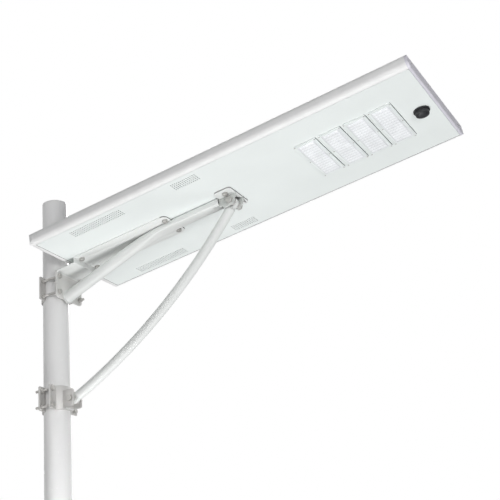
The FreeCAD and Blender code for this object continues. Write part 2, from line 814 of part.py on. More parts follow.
def make_mast_plate():
    w = mast_plate_half_width
    bottom = mast_plate_top - mast_plate_height
    back = mast_plate_face - mast_plate_thickness
    plate = cross_plate(-w, w, bottom, mast_plate_top, back, mast_plate_face,
                        [mast_plate_corner, mast_plate_corner, 3.0, 3.0])
    for z in upper_bolt_levels:
        for side in (-1, 1):
            y = side * upper_bolt_y
            plate = plate.cut(rod(V(back, y, z), V(mast_plate_face, y, z), m8_hole_radius))
    keep("mast_plate", plate, bracket_frame)

    pole_space = rod(V(0, 0, -200), V(0, 0, 200), band_inner)
    saddles = []
    for z in saddle_levels:
        rib = box(saddle_front, back, -saddle_half_width, saddle_half_width, z - saddle_thickness / 2, z + saddle_thickness / 2)
        saddles.append(rib.cut(pole_space))
    keep("mast_saddles", group(saddles), bracket_frame)


def arm_path():
    """Points and directions along the arm's centre line, in the lamp's frame."""
    start = V(arm_start_u, 0, arm_start_n)
    corner = V(arm_bend_u, 0, arm_flat_n)
    end = V(arm_end_u, 0, arm_flat_n)
    come = (corner - start).normalize()
    go = (end - corner).normalize()
    half = come.getAngle(go) / 2
    trim = arm_bend_radius * math.tan(half)
    bend_start = corner - V(come).multiply(trim)
    bend_end = corner + V(go).multiply(trim)
    centre = bend_end - V(0, 0, arm_bend_radius)
    return start, bend_start, centre, bend_end, end, come


def arm_point(u):
    """Centre of the arm and its slope angle at u."""
    start, bend_start, centre, bend_end, end, come = arm_path()
    if u <= bend_start.x:
        return V(u, arm_v, start.z + come.z / come.x * (u - start.x)), math.atan2(come.z, come.x)
    if u >= bend_end.x:
        return V(u, arm_v, arm_flat_n), 0.0
    rise = math.sqrt(arm_bend_radius ** 2 - (u - centre.x) ** 2)
    return V(u, arm_v, centre.z + rise), math.atan2(centre.x - u, rise)


def arm_section(u, shrink):
    """Outline of the arm square to its centre line: two flats and two round sides."""
    point, slope = arm_point(u)
    press = min(1.0, max(0.0, (u - arm_press_start_u) / (arm_press_end_u - arm_press_start_u)))
    press = press * press * (3 - 2 * press)
    half_height = arm_radius + (arm_flat_half_height - arm_radius) * press - shrink
    half_flat = 0.1 + (arm_flat_half_width - arm_flat_half_height) * press
    across = V(0, 1, 0)
    up = V(-math.sin(slope), 0, math.cos(slope))

    def on(side_offset, rise):
        return point + V(across).multiply(side_offset) + V(up).multiply(rise)

    right = half_flat + half_height
    edges = [
        Part.LineSegment(on(-half_flat, -half_height), on(half_flat, -half_height)).toShape(),
        Part.Arc(on(half_flat, -half_height), on(right, 0), on(half_flat, half_height)).toShape(),
        Part.LineSegment(on(half_flat, half_height), on(-half_flat, half_height)).toShape(),
        Part.Arc(on(-half_flat, half_height), on(-right, 0), on(-half_flat, -half_height)).toShape(),
    ]
    return Part.Wire(edges)


def make_arm():
    bend_start_u = arm_path()[1].x
    bend_end_u = arm_path()[3].x
    through_bend = steps(bend_start_u, (bend_end_u - bend_start_u) / arm_bend_steps, arm_bend_steps + 1)
    stations = [arm_start_u - 25] + through_bend + [arm_end_u]
    outer = Part.makeLoft([arm_section(u, 0) for u in stations], True, True)
    inner_stations = [arm_start_u - 26] + through_bend + [arm_end_u + 1]
    inner = Part.makeLoft([arm_section(u, arm_wall) for u in inner_stations], True, True)
    arm = outer.cut(inner)
    arm.Placement = FreeCAD.Placement(V(0, 0, 0), lamp_frame.Rotation)
    keep("support_arm", arm.common(half_space_in_front()), bracket_frame)

    seat = arm_flat_n - arm_flat_half_height - 0.1
    y0 = -ear_half_gap
    y1 = y0 + arm_lug_thickness
    toe_n = seat - arm_lug_strip / 2 - arm_lug_toe_radius / 2
    lug = link_plate((arm_lug_toe_u, toe_n), arm_lug_toe_radius, (pivot_u, pivot_n), pivot_eye_radius - 1, y0, y1)
    strip = box(arm_lug_start_u, arm_lug_toe_u, y0, y1, seat - arm_lug_strip, seat)
    cheek = box(arm_end_u + arm_lug_gap, arm_lug_toe_u + arm_lug_toe_radius, y0, y1,
                toe_n, -bracket_sheet - arm_lug_gap)
    lug = lug.fuse([strip, cheek])
    lug = lug.cut(rod(V(pivot_u, y0 - 1, pivot_n), V(pivot_u, y1 + 1, pivot_n), m12_hole_radius))
    keep("arm_end_lug", lug.removeSplitter(), lamp_frame)


def make_hinge_bracket():
    base = rounded_plate(bracket_start_u, bracket_end_u, -bracket_half_width, bracket_half_width,
                         -bracket_sheet, 0, [bracket_corner] * 4)
    bracket = base
    for y0 in (-ear_half_gap - bracket_sheet, ear_half_gap):
        ear = link_plate((pivot_u, pivot_n), pivot_eye_radius, (pivot_u + ear_root_shift, -bracket_sheet - 2),
                         ear_root_radius, y0, y0 + bracket_sheet)
        ear = ear.common(box(bracket_start_u, bracket_end_u, y0, y0 + bracket_sheet, -80, -bracket_sheet))
        bracket = bracket.fuse(ear)
    reach = ear_half_gap + bracket_sheet + 1
    bracket = bracket.cut(rod(V(pivot_u, -reach, pivot_n), V(pivot_u, reach, pivot_n), m12_hole_radius))
    for side in (-1, 1):
        y = side * mount_bolt_v
        bracket = bracket.cut(rod(V(bracket_bolt_u, y, -bracket_sheet), V(bracket_bolt_u, y, 0), m8_hole_radius))
    keep("hinge_bracket", bracket.removeSplitter(), lamp_frame)

    out = ear_half_gap + bracket_sheet
    head_seat = V(pivot_u, -out, pivot_n)
    keep("pivot_bolt", hex_bolt(head_seat, V(0, 1, 0), m12_across_flats, m12_head, m12_radius,
                                2 * out + m12_nut + 4), lamp_frame)
    keep("pivot_nut", hex_nut(V(pivot_u, out, pivot_n), V(0, 1, 0), m12_across_flats, m12_nut,
                              m12_radius + 0.1), lamp_frame)


def make_spacers():
    """Spacer tubes that centre the links on both pivot bolts."""
    tongue = strut_tongue / 2
    lug_face = -ear_half_gap + arm_lug_thickness
    spacers = []
    for y0, y1 in ((lug_face, -tongue), (tongue, ear_half_gap)):
        ring = tube(V(pivot_u, y0, pivot_n), V(pivot_u, y1, pivot_n), spacer_radius, m12_hole_radius)
        ring.Placement = FreeCAD.Placement(V(0, 0, 0), lamp_frame.Rotation)
        spacers.append(ring)
    for y0, y1 in ((-lug_half_gap, -tongue), (tongue, lug_half_gap)):
        spacers.append(tube(V(foot_x, y0, foot_z), V(foot_x, y1, foot_z), spacer_radius, m10_hole_radius))
    keep("link_spacers", group(spacers), bracket_frame)


def make_lamp_bolts():
    """The M8 bolts, washers and nuts that hold the lamp on its plate and on the hinge bracket."""
    bolts = []
    washers = []
    nuts = []
    places = [(u, side, sheet) for u in mount_bolt_u for side in (-1, 1)]
    places += [(bracket_bolt_u, side, bracket_sheet) for side in (-1, 1)]
    for u, side, under in places:
        y = side * mount_bolt_v
        washers.append(washer(V(u, y, -under), V(0, 0, -1), m8_washer_radius, m8_hole_radius, m8_washer))
        bolts.append(hex_bolt(V(u, y, -under - m8_washer), V(0, 0, 1), m8_across_flats, m8_head, m8_radius,
                              under + m8_washer + plate_thickness + m8_nut + 3))
        nuts.append(hex_nut(V(u, y, plate_thickness), V(0, 0, 1), m8_across_flats, m8_nut, m8_radius + 0.1))
    keep("lamp_mount_bolts", group(bolts), lamp_frame)
    keep("lamp_mount_washers", group(washers), lamp_frame)
    keep("lamp_mount_nuts", group(nuts), lamp_frame)


# ---------------------------------------------------------------- clamps
def band(half_angle, ear_x, facing, z_mid, bolt_y):
    """Band round one side of the pole with a flat ear at each end; facing is +1 for the front."""
    z0 = z_mid - band_height / 2
    ring = tube(V(0, 0, z0), V(0, 0, z0 + band_height), band_outer, band_inner)
    corner = 3 * band_outer
    limit = math.radians(half_angle)
    wedge = [V(0, 0, z0), V(corner * math.cos(limit), -corner * math.sin(limit), z0), V(corner, -corner / 2, z0),
             V(corner, corner / 2, z0), V(corner * math.cos(limit), corner * math.sin(limit), z0), V(0, 0, z0)]
    sector = Part.Face(Part.makePolygon(wedge)).extrude(V(0, 0, band_height))
    body = ring.common(sector)
    x = abs(ear_x)
    root = band_inner * math.sin(limit) + 0.6
    for side in (-1, 1):
        y0, y1 = sorted((side * root, side * ear_reach))
        ear = cross_plate(y0, y1, z0, z0 + band_height, x, x + band_thickness, [3.0] * 4)
        body = body.fuse(ear)
    for side in (-1, 1):
        for dz in (-clamp_bolt_spacing / 2, clamp_bolt_spacing / 2):
            y = side * bolt_y
            body = body.cut(rod(V(x - 1, y, z_mid + dz), V(x + band_thickness + 1, y, z_mid + dz), m8_hole_radius))
    body = body.cut(rod(V(0, 0, z0), V(0, 0, z0 + band_height), band_inner)).removeSplitter()
    if facing < 0:
        body.rotate(V(0, 0, 0), V(0, 0, 1), 180)
    return body


def make_clamps():
    keep("upper_rear_band", band(upper_rear_half_angle, upper_rear_ear_x, -1, mast_plate_mid, upper_bolt_y),
         bracket_frame)
    keep("lower_rear_band", band(lower_rear_half_angle, lower_rear_ear_x, -1, lower_clamp_z, lower_bolt_y),
         bracket_frame)
    keep("lower_front_band", band(front_band_half_angle, front_ear_x, 1, lower_clamp_z, lower_bolt_y),
         bracket_frame)

    forward = V(1, 0, 0)
    backward = V(-1, 0, 0)
    upper = []
    lower = []
    nuts = []
    washers = []
    plate_seat = mast_plate_face + m8_washer
    rear_seat = upper_rear_ear_x - band_thickness
    for z in upper_bolt_levels:
        upper.append(hex_bolt(V(plate_seat, -upper_bolt_y, z), backward, m8_across_flats, m8_head, m8_radius,
                              plate_seat - upper_thread_end_rear))
        nuts.append(hex_nut(V(upper_rear_ear_x, -upper_bolt_y, z), forward, m8_across_flats, m8_nut,
                            m8_radius + 0.1))
        upper.append(hex_bolt(V(rear_seat, upper_bolt_y, z), forward, m8_across_flats, m8_head, m8_radius,
                              upper_thread_end_front - rear_seat))
        nuts.append(hex_nut(V(plate_seat, upper_bolt_y, z), forward, m8_across_flats, m8_nut, m8_radius + 0.1))
        for side in (-1, 1):
            washers.append(washer(V(mast_plate_face, side * upper_bolt_y, z), forward, m8_washer_radius,
                                  m8_hole_radius, m8_washer))
    front_face = front_ear_x + band_thickness
    seat = front_face + m8_washer
    for z in lower_bolt_levels:
        for side in (-1, 1):
            y = side * lower_bolt_y
            lower.append(hex_bolt(V(seat, y, z), backward, m8_across_flats, m8_head, m8_radius,
                                  seat - lower_thread_end_rear))
            washers.append(washer(V(front_face, y, z), forward, m8_washer_radius, m8_hole_radius, m8_washer))
            nuts.append(hex_nut(V(lower_rear_ear_x, y, z), forward, m8_across_flats, m8_nut, m8_radius + 0.1))
    keep("upper_clamp_bolts", group(upper), bracket_frame)
    keep("lower_clamp_bolts", group(lower), bracket_frame)
    keep("clamp_nuts", group(nuts), bracket_frame)
    keep("clamp_washers", group(washers), bracket_frame)


# ---------------------------------------------------------------- strut and its foot
def make_strut():
    top = row_solid(lamp_frame, V(pivot_u, 0, pivot_n))
    foot = V(foot_x, 0, foot_z)
    chord = top - foot
    middle = (top + foot).multiply(0.5)
    rise = math.sqrt(strut_curve ** 2 - (chord.Length / 2) ** 2)
    normal = V(-chord.z, 0, chord.x).normalize()
    centre = middle + V(normal).multiply(rise)
    foot_angle = math.atan2(foot.z - centre.z, foot.x - centre.x)
    top_angle = math.atan2(top.z - centre.z, top.x - centre.x)

    def on_arc(angle):
        return centre + V(strut_curve * math.cos(angle), 0, strut_curve * math.sin(angle))

    gap = strut_end_gap / strut_curve
    first = foot_angle + gap
    last = top_angle - gap
    arc = Part.Arc(on_arc(first), on_arc((first + last) / 2), on_arc(last)).toShape()
    tangent = V(-math.sin(first), 0, math.cos(first))
    path = Part.Wire([arc])
    outer_ring = Part.Wire([Part.Circle(on_arc(first), tangent, strut_radius).toShape()])
    inner_ring = Part.Wire([Part.Circle(on_arc(first), tangent, strut_radius - strut_wall).toShape()])
    pipe = path.makePipeShell([outer_ring], True, False)
    pipe = pipe.cut(path.makePipeShell([inner_ring], True, False))

    half = strut_tongue / 2
    insert = (strut_end_gap + strut_insert) / strut_curve
    solids = [pipe]
    for eye, angle, radius in ((foot, foot_angle, foot_angle + insert), (top, top_angle, top_angle - insert)):
        inner_end = on_arc(radius)
        tongue = link_plate((eye.x, eye.z), strut_tongue_half_height, (inner_end.x, inner_end.z),
                            strut_radius - strut_wall - 3.0, -half, half)
        solids.append(tongue)
    for eye, direction in ((foot, 1), (top, -1)):
        angle = (foot_angle if direction > 0 else top_angle) + direction * (strut_end_gap + 1.5) / strut_curve
        start = on_arc(angle)
        along = V(-math.sin(angle), 0, math.cos(angle)).multiply(direction * 3.0)
        solids.append(rod(start, start + along, strut_radius - strut_wall / 2))
    strut = solids[0].fuse(solids[1:])
    strut = strut.cut(rod(foot - V(0, 30, 0), foot + V(0, 30, 0), m10_hole_radius))
    strut = strut.cut(rod(top - V(0, 30, 0), top + V(0, 30, 0), m12_hole_radius))
    keep("strut", strut, bracket_frame)


def make_foot():
    z0 = lug_z - lug_half_height
    z1 = lug_z + lug_half_height
    out = lug_half_gap + lug_sheet
    lug = box(band_outer + 0.1, band_outer + 0.1 + lug_sheet, -out, out, z0, z1)
    for y0 in (-out, lug_half_gap):
        lug = lug.fuse(side_plate(band_outer - 12, lug_end_x, z0, z1, y0, y0 + lug_sheet, [0.1, lug_corner, lug_corner, 0.1]))
    lug = lug.cut(rod(V(0, 0, z0 - 1), V(0, 0, z1 + 1), band_outer + 0.1))
    lug = lug.cut(rod(V(foot_x, -out - 1, foot_z), V(foot_x, out + 1, foot_z), m10_hole_radius))
    keep("foot_lug", lug.removeSplitter(), bracket_frame)
    keep("foot_bolt", hex_bolt(V(foot_x, -out, foot_z), V(0, 1, 0), m10_across_flats, m10_head, m10_radius,
                               2 * out + m10_nut + 4), bracket_frame)
    keep("foot_nut", hex_nut(V(foot_x, out, foot_z), V(0, 1, 0), m10_across_flats, m10_nut,
                             m10_radius + 0.1), bracket_frame)


# ---------------------------------------------------------------- build and write
make_pole()
make_housing()
make_bottom_plate()
make_panel()
make_lights()
make_sensor()
make_battery()
make_controller()
make_wiring()
make_switch()
make_mount_plate()
make_mast_plate()
make_arm()
make_hinge_bracket()
make_spacers()
make_lamp_bolts()
make_clamps()
make_strut()
make_foot()

os.makedirs("parts", exist_ok=True)
for name, shape in sorted(SHAPES.items()):
    shape.exportStep("parts/%s.step" % name)
    print("%-24s solids %3d  volume %12.1f  valid %s" % (name, len(shape.Solids), shape.Volume, shape.isValid()))
print("nodes", len(SHAPES))
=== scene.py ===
"""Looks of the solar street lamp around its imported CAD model."""
import bmesh
import bpy
import json
import math
from mathutils import Matrix, Vector


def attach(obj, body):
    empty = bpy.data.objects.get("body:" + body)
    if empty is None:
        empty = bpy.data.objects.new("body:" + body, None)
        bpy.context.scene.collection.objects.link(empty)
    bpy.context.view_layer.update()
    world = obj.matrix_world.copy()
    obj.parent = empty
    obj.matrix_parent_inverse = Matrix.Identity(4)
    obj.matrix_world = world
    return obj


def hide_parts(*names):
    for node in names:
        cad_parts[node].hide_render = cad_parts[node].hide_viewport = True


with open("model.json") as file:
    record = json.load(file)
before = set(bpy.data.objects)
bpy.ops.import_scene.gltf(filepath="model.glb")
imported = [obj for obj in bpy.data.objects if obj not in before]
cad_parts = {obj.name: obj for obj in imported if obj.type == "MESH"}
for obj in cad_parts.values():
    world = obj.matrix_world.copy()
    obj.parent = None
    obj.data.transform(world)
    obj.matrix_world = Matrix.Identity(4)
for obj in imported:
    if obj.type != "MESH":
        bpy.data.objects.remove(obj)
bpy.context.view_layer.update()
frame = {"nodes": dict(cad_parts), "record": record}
NODES = frame["nodes"]

MM = 0.001

# Three frames. WORLD has its origin at the pole's lower end. BRACKET is the same, moved up to the lamp's
# height. LAMP is BRACKET tilted with the lamp: u along its underside, v across it, n out of its top.
TILT = math.radians(6.9)
WORLD = Matrix.Identity(4)
BRACKET = Matrix.Translation((0, 0, 0.8))
LAMP = BRACKET @ Matrix.Rotation(-TILT, 4, "Y")
LAMP_TURN = LAMP.to_3x3()
X_AXIS, Y_AXIS, Z_AXIS = Vector((1, 0, 0)), Vector((0, 1, 0)), Vector((0, 0, 1))

# Sizes in millimetres, those of the CAD source
POLE_BORE, POLE_RADIUS, POLE_HEIGHT = 34.5, 38, 1037
PIVOT_U, PIVOT_N, PIVOT_HOLE = 624, -21, 6.5
FOOT_X, FOOT_Z, FOOT_HOLE = 60, -392, 5.5
STRUT_RADIUS, STRUT_CURVE = 14.0, 1565.0
ARM_V, ARM_FLAT_N, ARM_END_U = -8.0, -11.5, 588.0
ARM_RADIUS, ARM_WALL, ARM_CURVE = 17, 2.5, 700
PRESS_START_U, PRESS_LENGTH = 290, 105
PRESSED_HALF_HEIGHT, PRESSED_SPREAD = 8.3, 11.2
MOUNTING_PLATE_END_U = 433.6
MAST_PLATE_FACE = 50
BAND_RADIUS = 38.3
MODULE_FIRST_U, MODULE_PITCH, MODULE_COUNT = 900.4, 72.1, 4
EMITTERS_U, EMITTERS_V = 5, 14
SENSOR_U = 1200
LAMP_POLE_END_U, LAMP_LIT_END_U = 68.5, 1248.5
END_CAP_N = 22
CELL_START_U, CELL_START_V = 91.0, -187.4
CELLS_U, CELLS_V = 12, 3

# Hexagon bolts: across flats, head height, nut height, thread radius and thread pitch
M8 = (13, 5.3, 6.5, 4, 1.25)
M10 = (16, 6.4, 8.4, 5, 1.5)
M12 = (18, 7.5, 10, 6, 1.75)
NUT_CLEARANCE = 0.1
WASHER_RADIUS, WASHER_BORE, WASHER_HEIGHT = 8, 4.5, 1.6


# ------------------------------------------------------------------ camera, light, floor
def look(azimuth, elevation, roll):
    """Turn of a camera from its azimuth, its elevation and its roll in degrees."""
    a, e, r = (math.radians(v) for v in (azimuth, elevation, roll))
    ahead = Vector((-math.sin(a) * math.cos(e), math.cos(a) * math.cos(e), -math.sin(e)))
    right = ahead.cross(Vector((0, 0, 1))).normalized()
    up = right.cross(ahead)
    x = math.cos(r) * right + math.sin(r) * up
    y = -math.sin(r) * right + math.cos(r) * up
    return Matrix((x, y, -ahead)).transposed().to_4x4()


camera_data = bpy.data.cameras.new("camera")
camera_data.sensor_width = 36
camera_data.lens = 75.88
camera_data.clip_end = 100
camera = bpy.data.objects.new("camera", camera_data)
bpy.context.scene.collection.objects.link(camera)
camera_place = Matrix.Translation((1.832145, -2.337609, -0.443160))
camera.matrix_world = camera_place @ look(26.658, -23.606, -5.270)
bpy.context.scene.camera = camera
bpy.context.scene.view_settings.view_transform = "Standard"


def area_light(name, place, target, size, power, colour=(1, 1, 1)):
    """Soft disk that shines from a place towards a target; size in metres, power in watts."""
    data = bpy.data.lights.new(name, "AREA")
    data.shape = "DISK"
    data.size = size
    data.energy = power
    data.color = colour
    light = bpy.data.objects.new(name, data)
    bpy.context.scene.collection.objects.link(light)
    light.location = place
    light.rotation_euler = (Vector(target) - Vector(place)).to_track_quat("-Z", "Y").to_euler()
    light.visible_camera = False
    return light


area_light("key_from_below", (0.2, -0.5, -3.6), (0.4, 0, 0.85), 2.4, 124)
area_light("far_fill", (0.3, 2.4, -3.0), (0.5, 0, 0.85), 2.0, 28)
area_light("end_fill", (4.5, -1.2, -2.4), (0.6, 0, 0.85), 2.0, 16, (0.95, 0.945, 1))
area_light("left_fill", (-0.6, -3.2, 0.8), (0.1, 0, 0.5), 1.6, 8)
area_light("side_light", (2.8, -1.9, 0.0), (0.1, 0, 0.2), 1.0, 25)
area_light("near_fill", (1.6, -3.2, 0.5), (0.5, 0, 0.8), 1.4, 13)
low_pole = area_light("low_pole", (2.4, -0.6, -0.3), (0, 0, 0.08), 0.5, 0.24)
low_pole.data.spread = math.radians(17)
area_light("back_light", (-0.6, 3.0, 3.0), (0.4, 0, 0.8), 2.2, 160)

world = bpy.data.worlds.new("studio")
bpy.context.scene.world = world
world.use_nodes = True
world_tree = world.node_tree
world_tree.nodes.clear()


def backdrop(colour, strength):
    shader = world_tree.nodes.new("ShaderNodeBackground")
    shader.inputs["Color"].default_value = (*colour, 1)
    shader.inputs["Strength"].default_value = strength
    return shader.outputs[0]


def larger(first, second):
    node = world_tree.nodes.new("ShaderNodeMath")
    node.operation = "MAXIMUM"
    world_tree.links.new(first, node.inputs[0])
    world_tree.links.new(second, node.inputs[1])
    return node.outputs[0]


# White where the world is seen directly, in gloss or through glass, and dim where it only lights
rays = world_tree.nodes.new("ShaderNodeLightPath").outputs
seen = larger(larger(rays["Is Camera Ray"], rays["Is Glossy Ray"]), rays["Is Transmission Ray"])
world_mix = world_tree.nodes.new("ShaderNodeMixShader")
world_out = world_tree.nodes.new("ShaderNodeOutputWorld")
world_tree.links.new(seen, world_mix.inputs[0])
world_tree.links.new(backdrop((0.97, 0.985, 1), 0.24), world_mix.inputs[1])
world_tree.links.new(backdrop((1, 1, 1), 1.0), world_mix.inputs[2])
world_tree.links.new(world_mix.outputs[0], world_out.inputs[0])


# ------------------------------------------------------------------ materials
class Shader:
    """A Principled material put together step by step."""

    def __init__(self, name):
        self.mat = bpy.data.materials.new(name)
        self.mat.use_nodes = True
        self.tree = self.mat.node_tree
        self.bsdf = self.tree.nodes["Principled BSDF"]
        coords = self.tree.nodes.new("ShaderNodeTexCoord")
        self.place = coords.outputs["Object"]
        self.normal = None

    def set(self, **values):
        for key, value in values.items():
            self.bsdf.inputs[key.replace("_", " ")].default_value = value
        return self

    def node(self, kind, **fields):
        n = self.tree.nodes.new(kind)
        for key, value in fields.items():
            setattr(n, key, value)
        return n

    def link(self, a, b):
        self.tree.links.new(a, b)

    def stretched(self, scale, turn=(0, 0, 0)):
        m = self.node("ShaderNodeMapping")
        m.inputs["Scale"].default_value = scale
        m.inputs["Rotation"].default_value = turn
        self.link(self.place, m.inputs["Vector"])
        return m.outputs[0]

    def noise(self, scale, detail=3.0, rough=0.5, source=None):
        n = self.node("ShaderNodeTexNoise")
        n.inputs["Scale"].default_value = scale
        n.inputs["Detail"].default_value = detail
        n.inputs["Roughness"].default_value = rough
        self.link(source or self.place, n.inputs["Vector"])
        return n.outputs["Fac"]

    def remap(self, value, low, high, to_low=0.0, to_high=1.0):
        n = self.node("ShaderNodeMapRange")
        for i, v in enumerate((low, high, to_low, to_high)):
            n.inputs[i + 1].default_value = v
        self.link(value, n.inputs[0])
        return n.outputs[0]

    def mixed(self, factor, first, second):
        n = self.node("ShaderNodeMix", data_type="RGBA")
        self.link(factor, n.inputs["Factor"])
        for side, colour in ((6, first), (7, second)):
            if isinstance(colour, tuple):
                n.inputs[side].default_value = colour if len(colour) == 4 else (*colour, 1)
            else:
                self.link(colour, n.inputs[side])
        return n.outputs[2]

    def edges(self, radius):
        """Mask of the sharp edges, and rounded normals along them."""
        bevel = self.node("ShaderNodeBevel", samples=4)
        bevel.inputs["Radius"].default_value = radius
        self.normal = bevel.outputs[0]
        geometry = self.node("ShaderNodeNewGeometry")
        dot = self.node("ShaderNodeVectorMath", operation="DOT_PRODUCT")
        self.link(bevel.outputs[0], dot.inputs[0])
        self.link(geometry.outputs["Normal"], dot.inputs[1])
        return self.remap(dot.outputs["Value"], 1.0, 0.86)

    def bump(self, height, strength, distance):
        n = self.node("ShaderNodeBump")
        n.inputs["Strength"].default_value = strength
        n.inputs["Distance"].default_value = distance
        self.link(height, n.inputs["Height"])
        if self.normal:
            self.link(self.normal, n.inputs["Normal"])
        self.normal = n.outputs[0]
        return self

    def done(self, colour=None, roughness=None):
        if colour is not None:
            self.link(colour, self.bsdf.inputs["Base Color"])
        if roughness is not None:
            self.link(roughness, self.bsdf.inputs["Roughness"])
        if self.normal:
            self.link(self.normal, self.bsdf.inputs["Normal"])
        return self.mat


def powder_coat(name, colour, rough=0.4, peel=900.0, depth=0.00004, dirt=0.05, edge=0.0007, **fixed):
    """Sprayed paint: fine orange peel, slow tone changes and paint worn a little at the edges."""
    s = Shader(name)
    s.set(**fixed)
    worn = s.edges(edge)
    slow = s.remap(s.noise(6.0, 4.0), 0.35, 0.65)
    darker = tuple(c * (1 - dirt) for c in colour)
    base = s.mixed(slow, darker, colour)
    scuffs = s.remap(s.noise(260.0, 5.0, 0.7), 0.55, 0.72)
    both = s.node("ShaderNodeMath", operation="MULTIPLY")
    s.link(worn, both.inputs[0])
    s.link(scuffs, both.inputs[1])
    final = s.mixed(both.outputs[0], base, tuple(c * 0.72 for c in colour))
    s.bump(s.noise(peel, 2.0, 0.4), 0.35, depth)
    shine = s.remap(s.noise(45.0, 4.0, 0.6), 0.3, 0.7, rough - 0.06, rough + 0.08)
    return s.done(final, shine)


def streaked_metal(name, colour, scale, rough=0.35, metallic=1.0, depth=0.00002, edge=0.0006, tint=0.10):
    """Metal with grain drawn one way: scale is small along the grain and large across it."""
    s = Shader(name)
    s.set(Metallic=metallic)
    worn = s.edges(edge)
    grain = s.noise(1.0, 5.0, 0.65, s.stretched(scale))
    blotch = s.remap(s.noise(28.0, 5.0, 0.6), 0.35, 0.7)
    base = s.mixed(s.remap(grain, 0.3, 0.7), tuple(c * (1 - tint) for c in colour), colour)
    base = s.mixed(blotch, base, tuple(c * 0.93 for c in colour))
    final = s.mixed(worn, base, tuple(min(1.0, c * 1.18) for c in colour))
    s.bump(grain, 0.5, depth)
    shine = s.remap(grain, 0.25, 0.75, rough - 0.08, rough + 0.12)
    return s.done(final, shine)


def moulded(name, colour, rough=0.4, grain=2200.0, depth=0.00003, edge=0.0005, **fixed):
    """Moulded plastic or rubber: fine even grain, slight sheen changes, paler edges."""
    s = Shader(name)
    s.set(**fixed)
    worn = s.edges(edge)
    base = s.mixed(s.remap(s.noise(30.0, 3.0), 0.35, 0.65), tuple(c * 0.9 for c in colour), colour)
    pale = tuple(min(1.0, c * 1.25 + 0.01) for c in colour)
    final = s.mixed(worn, base, pale)
    s.bump(s.noise(grain, 2.0, 0.5), 0.4, depth)
    shine = s.remap(s.noise(90.0, 4.0, 0.6), 0.3, 0.7, rough - 0.07, rough + 0.09)
    return s.done(final, shine)


def solar_cell(name, colour, finger):
    """Dark silicon with slow tone changes, crossed by fine printed fingers 2 mm apart."""
    s = Shader(name)
    s.set(Specular_IOR_Level=0.3)
    worn = s.edges(0.0005)
    base = s.mixed(s.remap(s.noise(9.0, 3.0), 0.35, 0.65), tuple(c * 0.8 for c in colour), colour)
    bands = s.node("ShaderNodeTexWave", bands_direction="X")
    bands.inputs["Scale"].default_value = 157.0
    s.link(s.place, bands.inputs["Vector"])
    lines = s.remap(bands.outputs["Fac"], 0.93, 0.99)
    final = s.mixed(worn, s.mixed(lines, base, finger), finger)
    s.bump(s.noise(1800.0, 2.0), 0.3, 0.00001)
    return s.done(final, s.remap(s.noise(60.0, 4.0), 0.3, 0.7, 0.18, 0.3))


MATERIALS = {
    "painted_pole": powder_coat("pole_paint", (0.93, 0.925, 0.92), 0.20, 700.0, 0.00004, 0.03),
    "housing_aluminium": streaked_metal("satin_aluminium", (0.88, 0.88, 0.875), (4, 900, 900), 0.5, 0.0,
                                        0.00001, 0.0005, 0.03),
    "plate_white": powder_coat("plate_paint", (0.84, 0.88, 0.865), 0.62, 1100.0, 0.00003, 0.03, 0.0004,
                               Specular_IOR_Level=0.3),
    "bracket_white": powder_coat("bracket_paint", (0.80, 0.815, 0.80), 0.45, 800.0, 0.00002, 0.04, 0.0006),
    "bare_steel": streaked_metal("clamp_steel", (0.65, 0.64, 0.625), (700, 700, 12), 0.5, 0.5, 0.00003),
    "fastener_steel": streaked_metal("zinc_steel", (0.56, 0.55, 0.53), (500, 500, 500), 0.4, 0.7, 0.00002),
    "heat_sink_aluminium": powder_coat("module_paint", (0.83, 0.87, 0.86), 0.55, 1500.0, 0.00002, 0.03,
                                       0.0004),
    "lens_plastic": moulded("lens_clear", (0.96, 0.98, 1.0), 0.12, 1500.0, 0.00001),
    "board_white": moulded("solder_mask", (0.86, 0.86, 0.84), 0.3),
    "black_plastic": moulded("black_moulding", (0.019, 0.019, 0.022), 0.44),
    "rubber_seal": moulded("seal_rubber", (0.02, 0.02, 0.02), 0.7, 900.0, 0.00006),
    "panel_glass": moulded("tempered_glass", (0.9, 0.95, 0.97), 0.06, 600.0, 0.000004,
                           Transmission_Weight=1.0, IOR=1.5, Specular_IOR_Level=0.2),
    "silicon_cell": solar_cell("silicon", (0.012, 0.022, 0.07), (0.06, 0.07, 0.11)),
    "backsheet_white": moulded("backsheet_film", (0.80, 0.80, 0.80), 0.5),
    "cell_wrap": moulded("cell_wrap", (0.05, 0.13, 0.36), 0.3),
    "tray_steel": powder_coat("tray_paint", (0.78, 0.79, 0.79), 0.5),
    "controller_case": streaked_metal("controller_case", (0.16, 0.17, 0.19), (5, 600, 600), 0.45, 0.8),
    "wire_black": moulded("wire_jacket", (0.018, 0.018, 0.018), 0.5),
    "button_plastic": moulded("button_rubber", (0.03, 0.03, 0.035), 0.6, 1200.0, 0.00005),
}

# Single pieces whose tone differs from the rest of their slot as painted shade (on the end cap also a painted
# reflection), and the second material of the LED boards
# End cap: aluminium painted darker and bluish, which is painted shade and a painted bluish reflection
CAP_SHADE_AND_REFLECTION = streaked_metal("cap_painted_shade_reflection", (0.72, 0.705, 0.77), (900, 4, 900), 0.5, 0.0,
                               0.00001, 0.0005, 0.03)
# Hinge ears and arm end lug: grey paint that is painted shade on faces turned from the light
LUG_SHADE_PAINT = powder_coat("lug_painted_shade", (0.60, 0.62, 0.60), 0.5, 800.0, 0.00003, 0.05, 0.0005)
# Mast plate and saddles: beige-grey paint that is painted shade on faces standing in shadow
MAST_SHADE_PAINT = powder_coat("mast_painted_shade", (0.74, 0.735, 0.715), 0.5, 800.0, 0.00003, 0.04, 0.0006)
PHOSPHOR = moulded("phosphor", (0.90, 0.72, 0.16), 0.35, 3000.0, 0.00001)

for part in frame["record"]["subparts"]:
    node = NODES[part["node"]]
    node.data.materials.clear()
    node.data.materials.append(MATERIALS[part["material_slot"]])
# The lamp's end cap takes the darker bluish tone of painted shade and painted reflection
NODES["light_end_cap"].data.materials[0] = CAP_SHADE_AND_REFLECTION


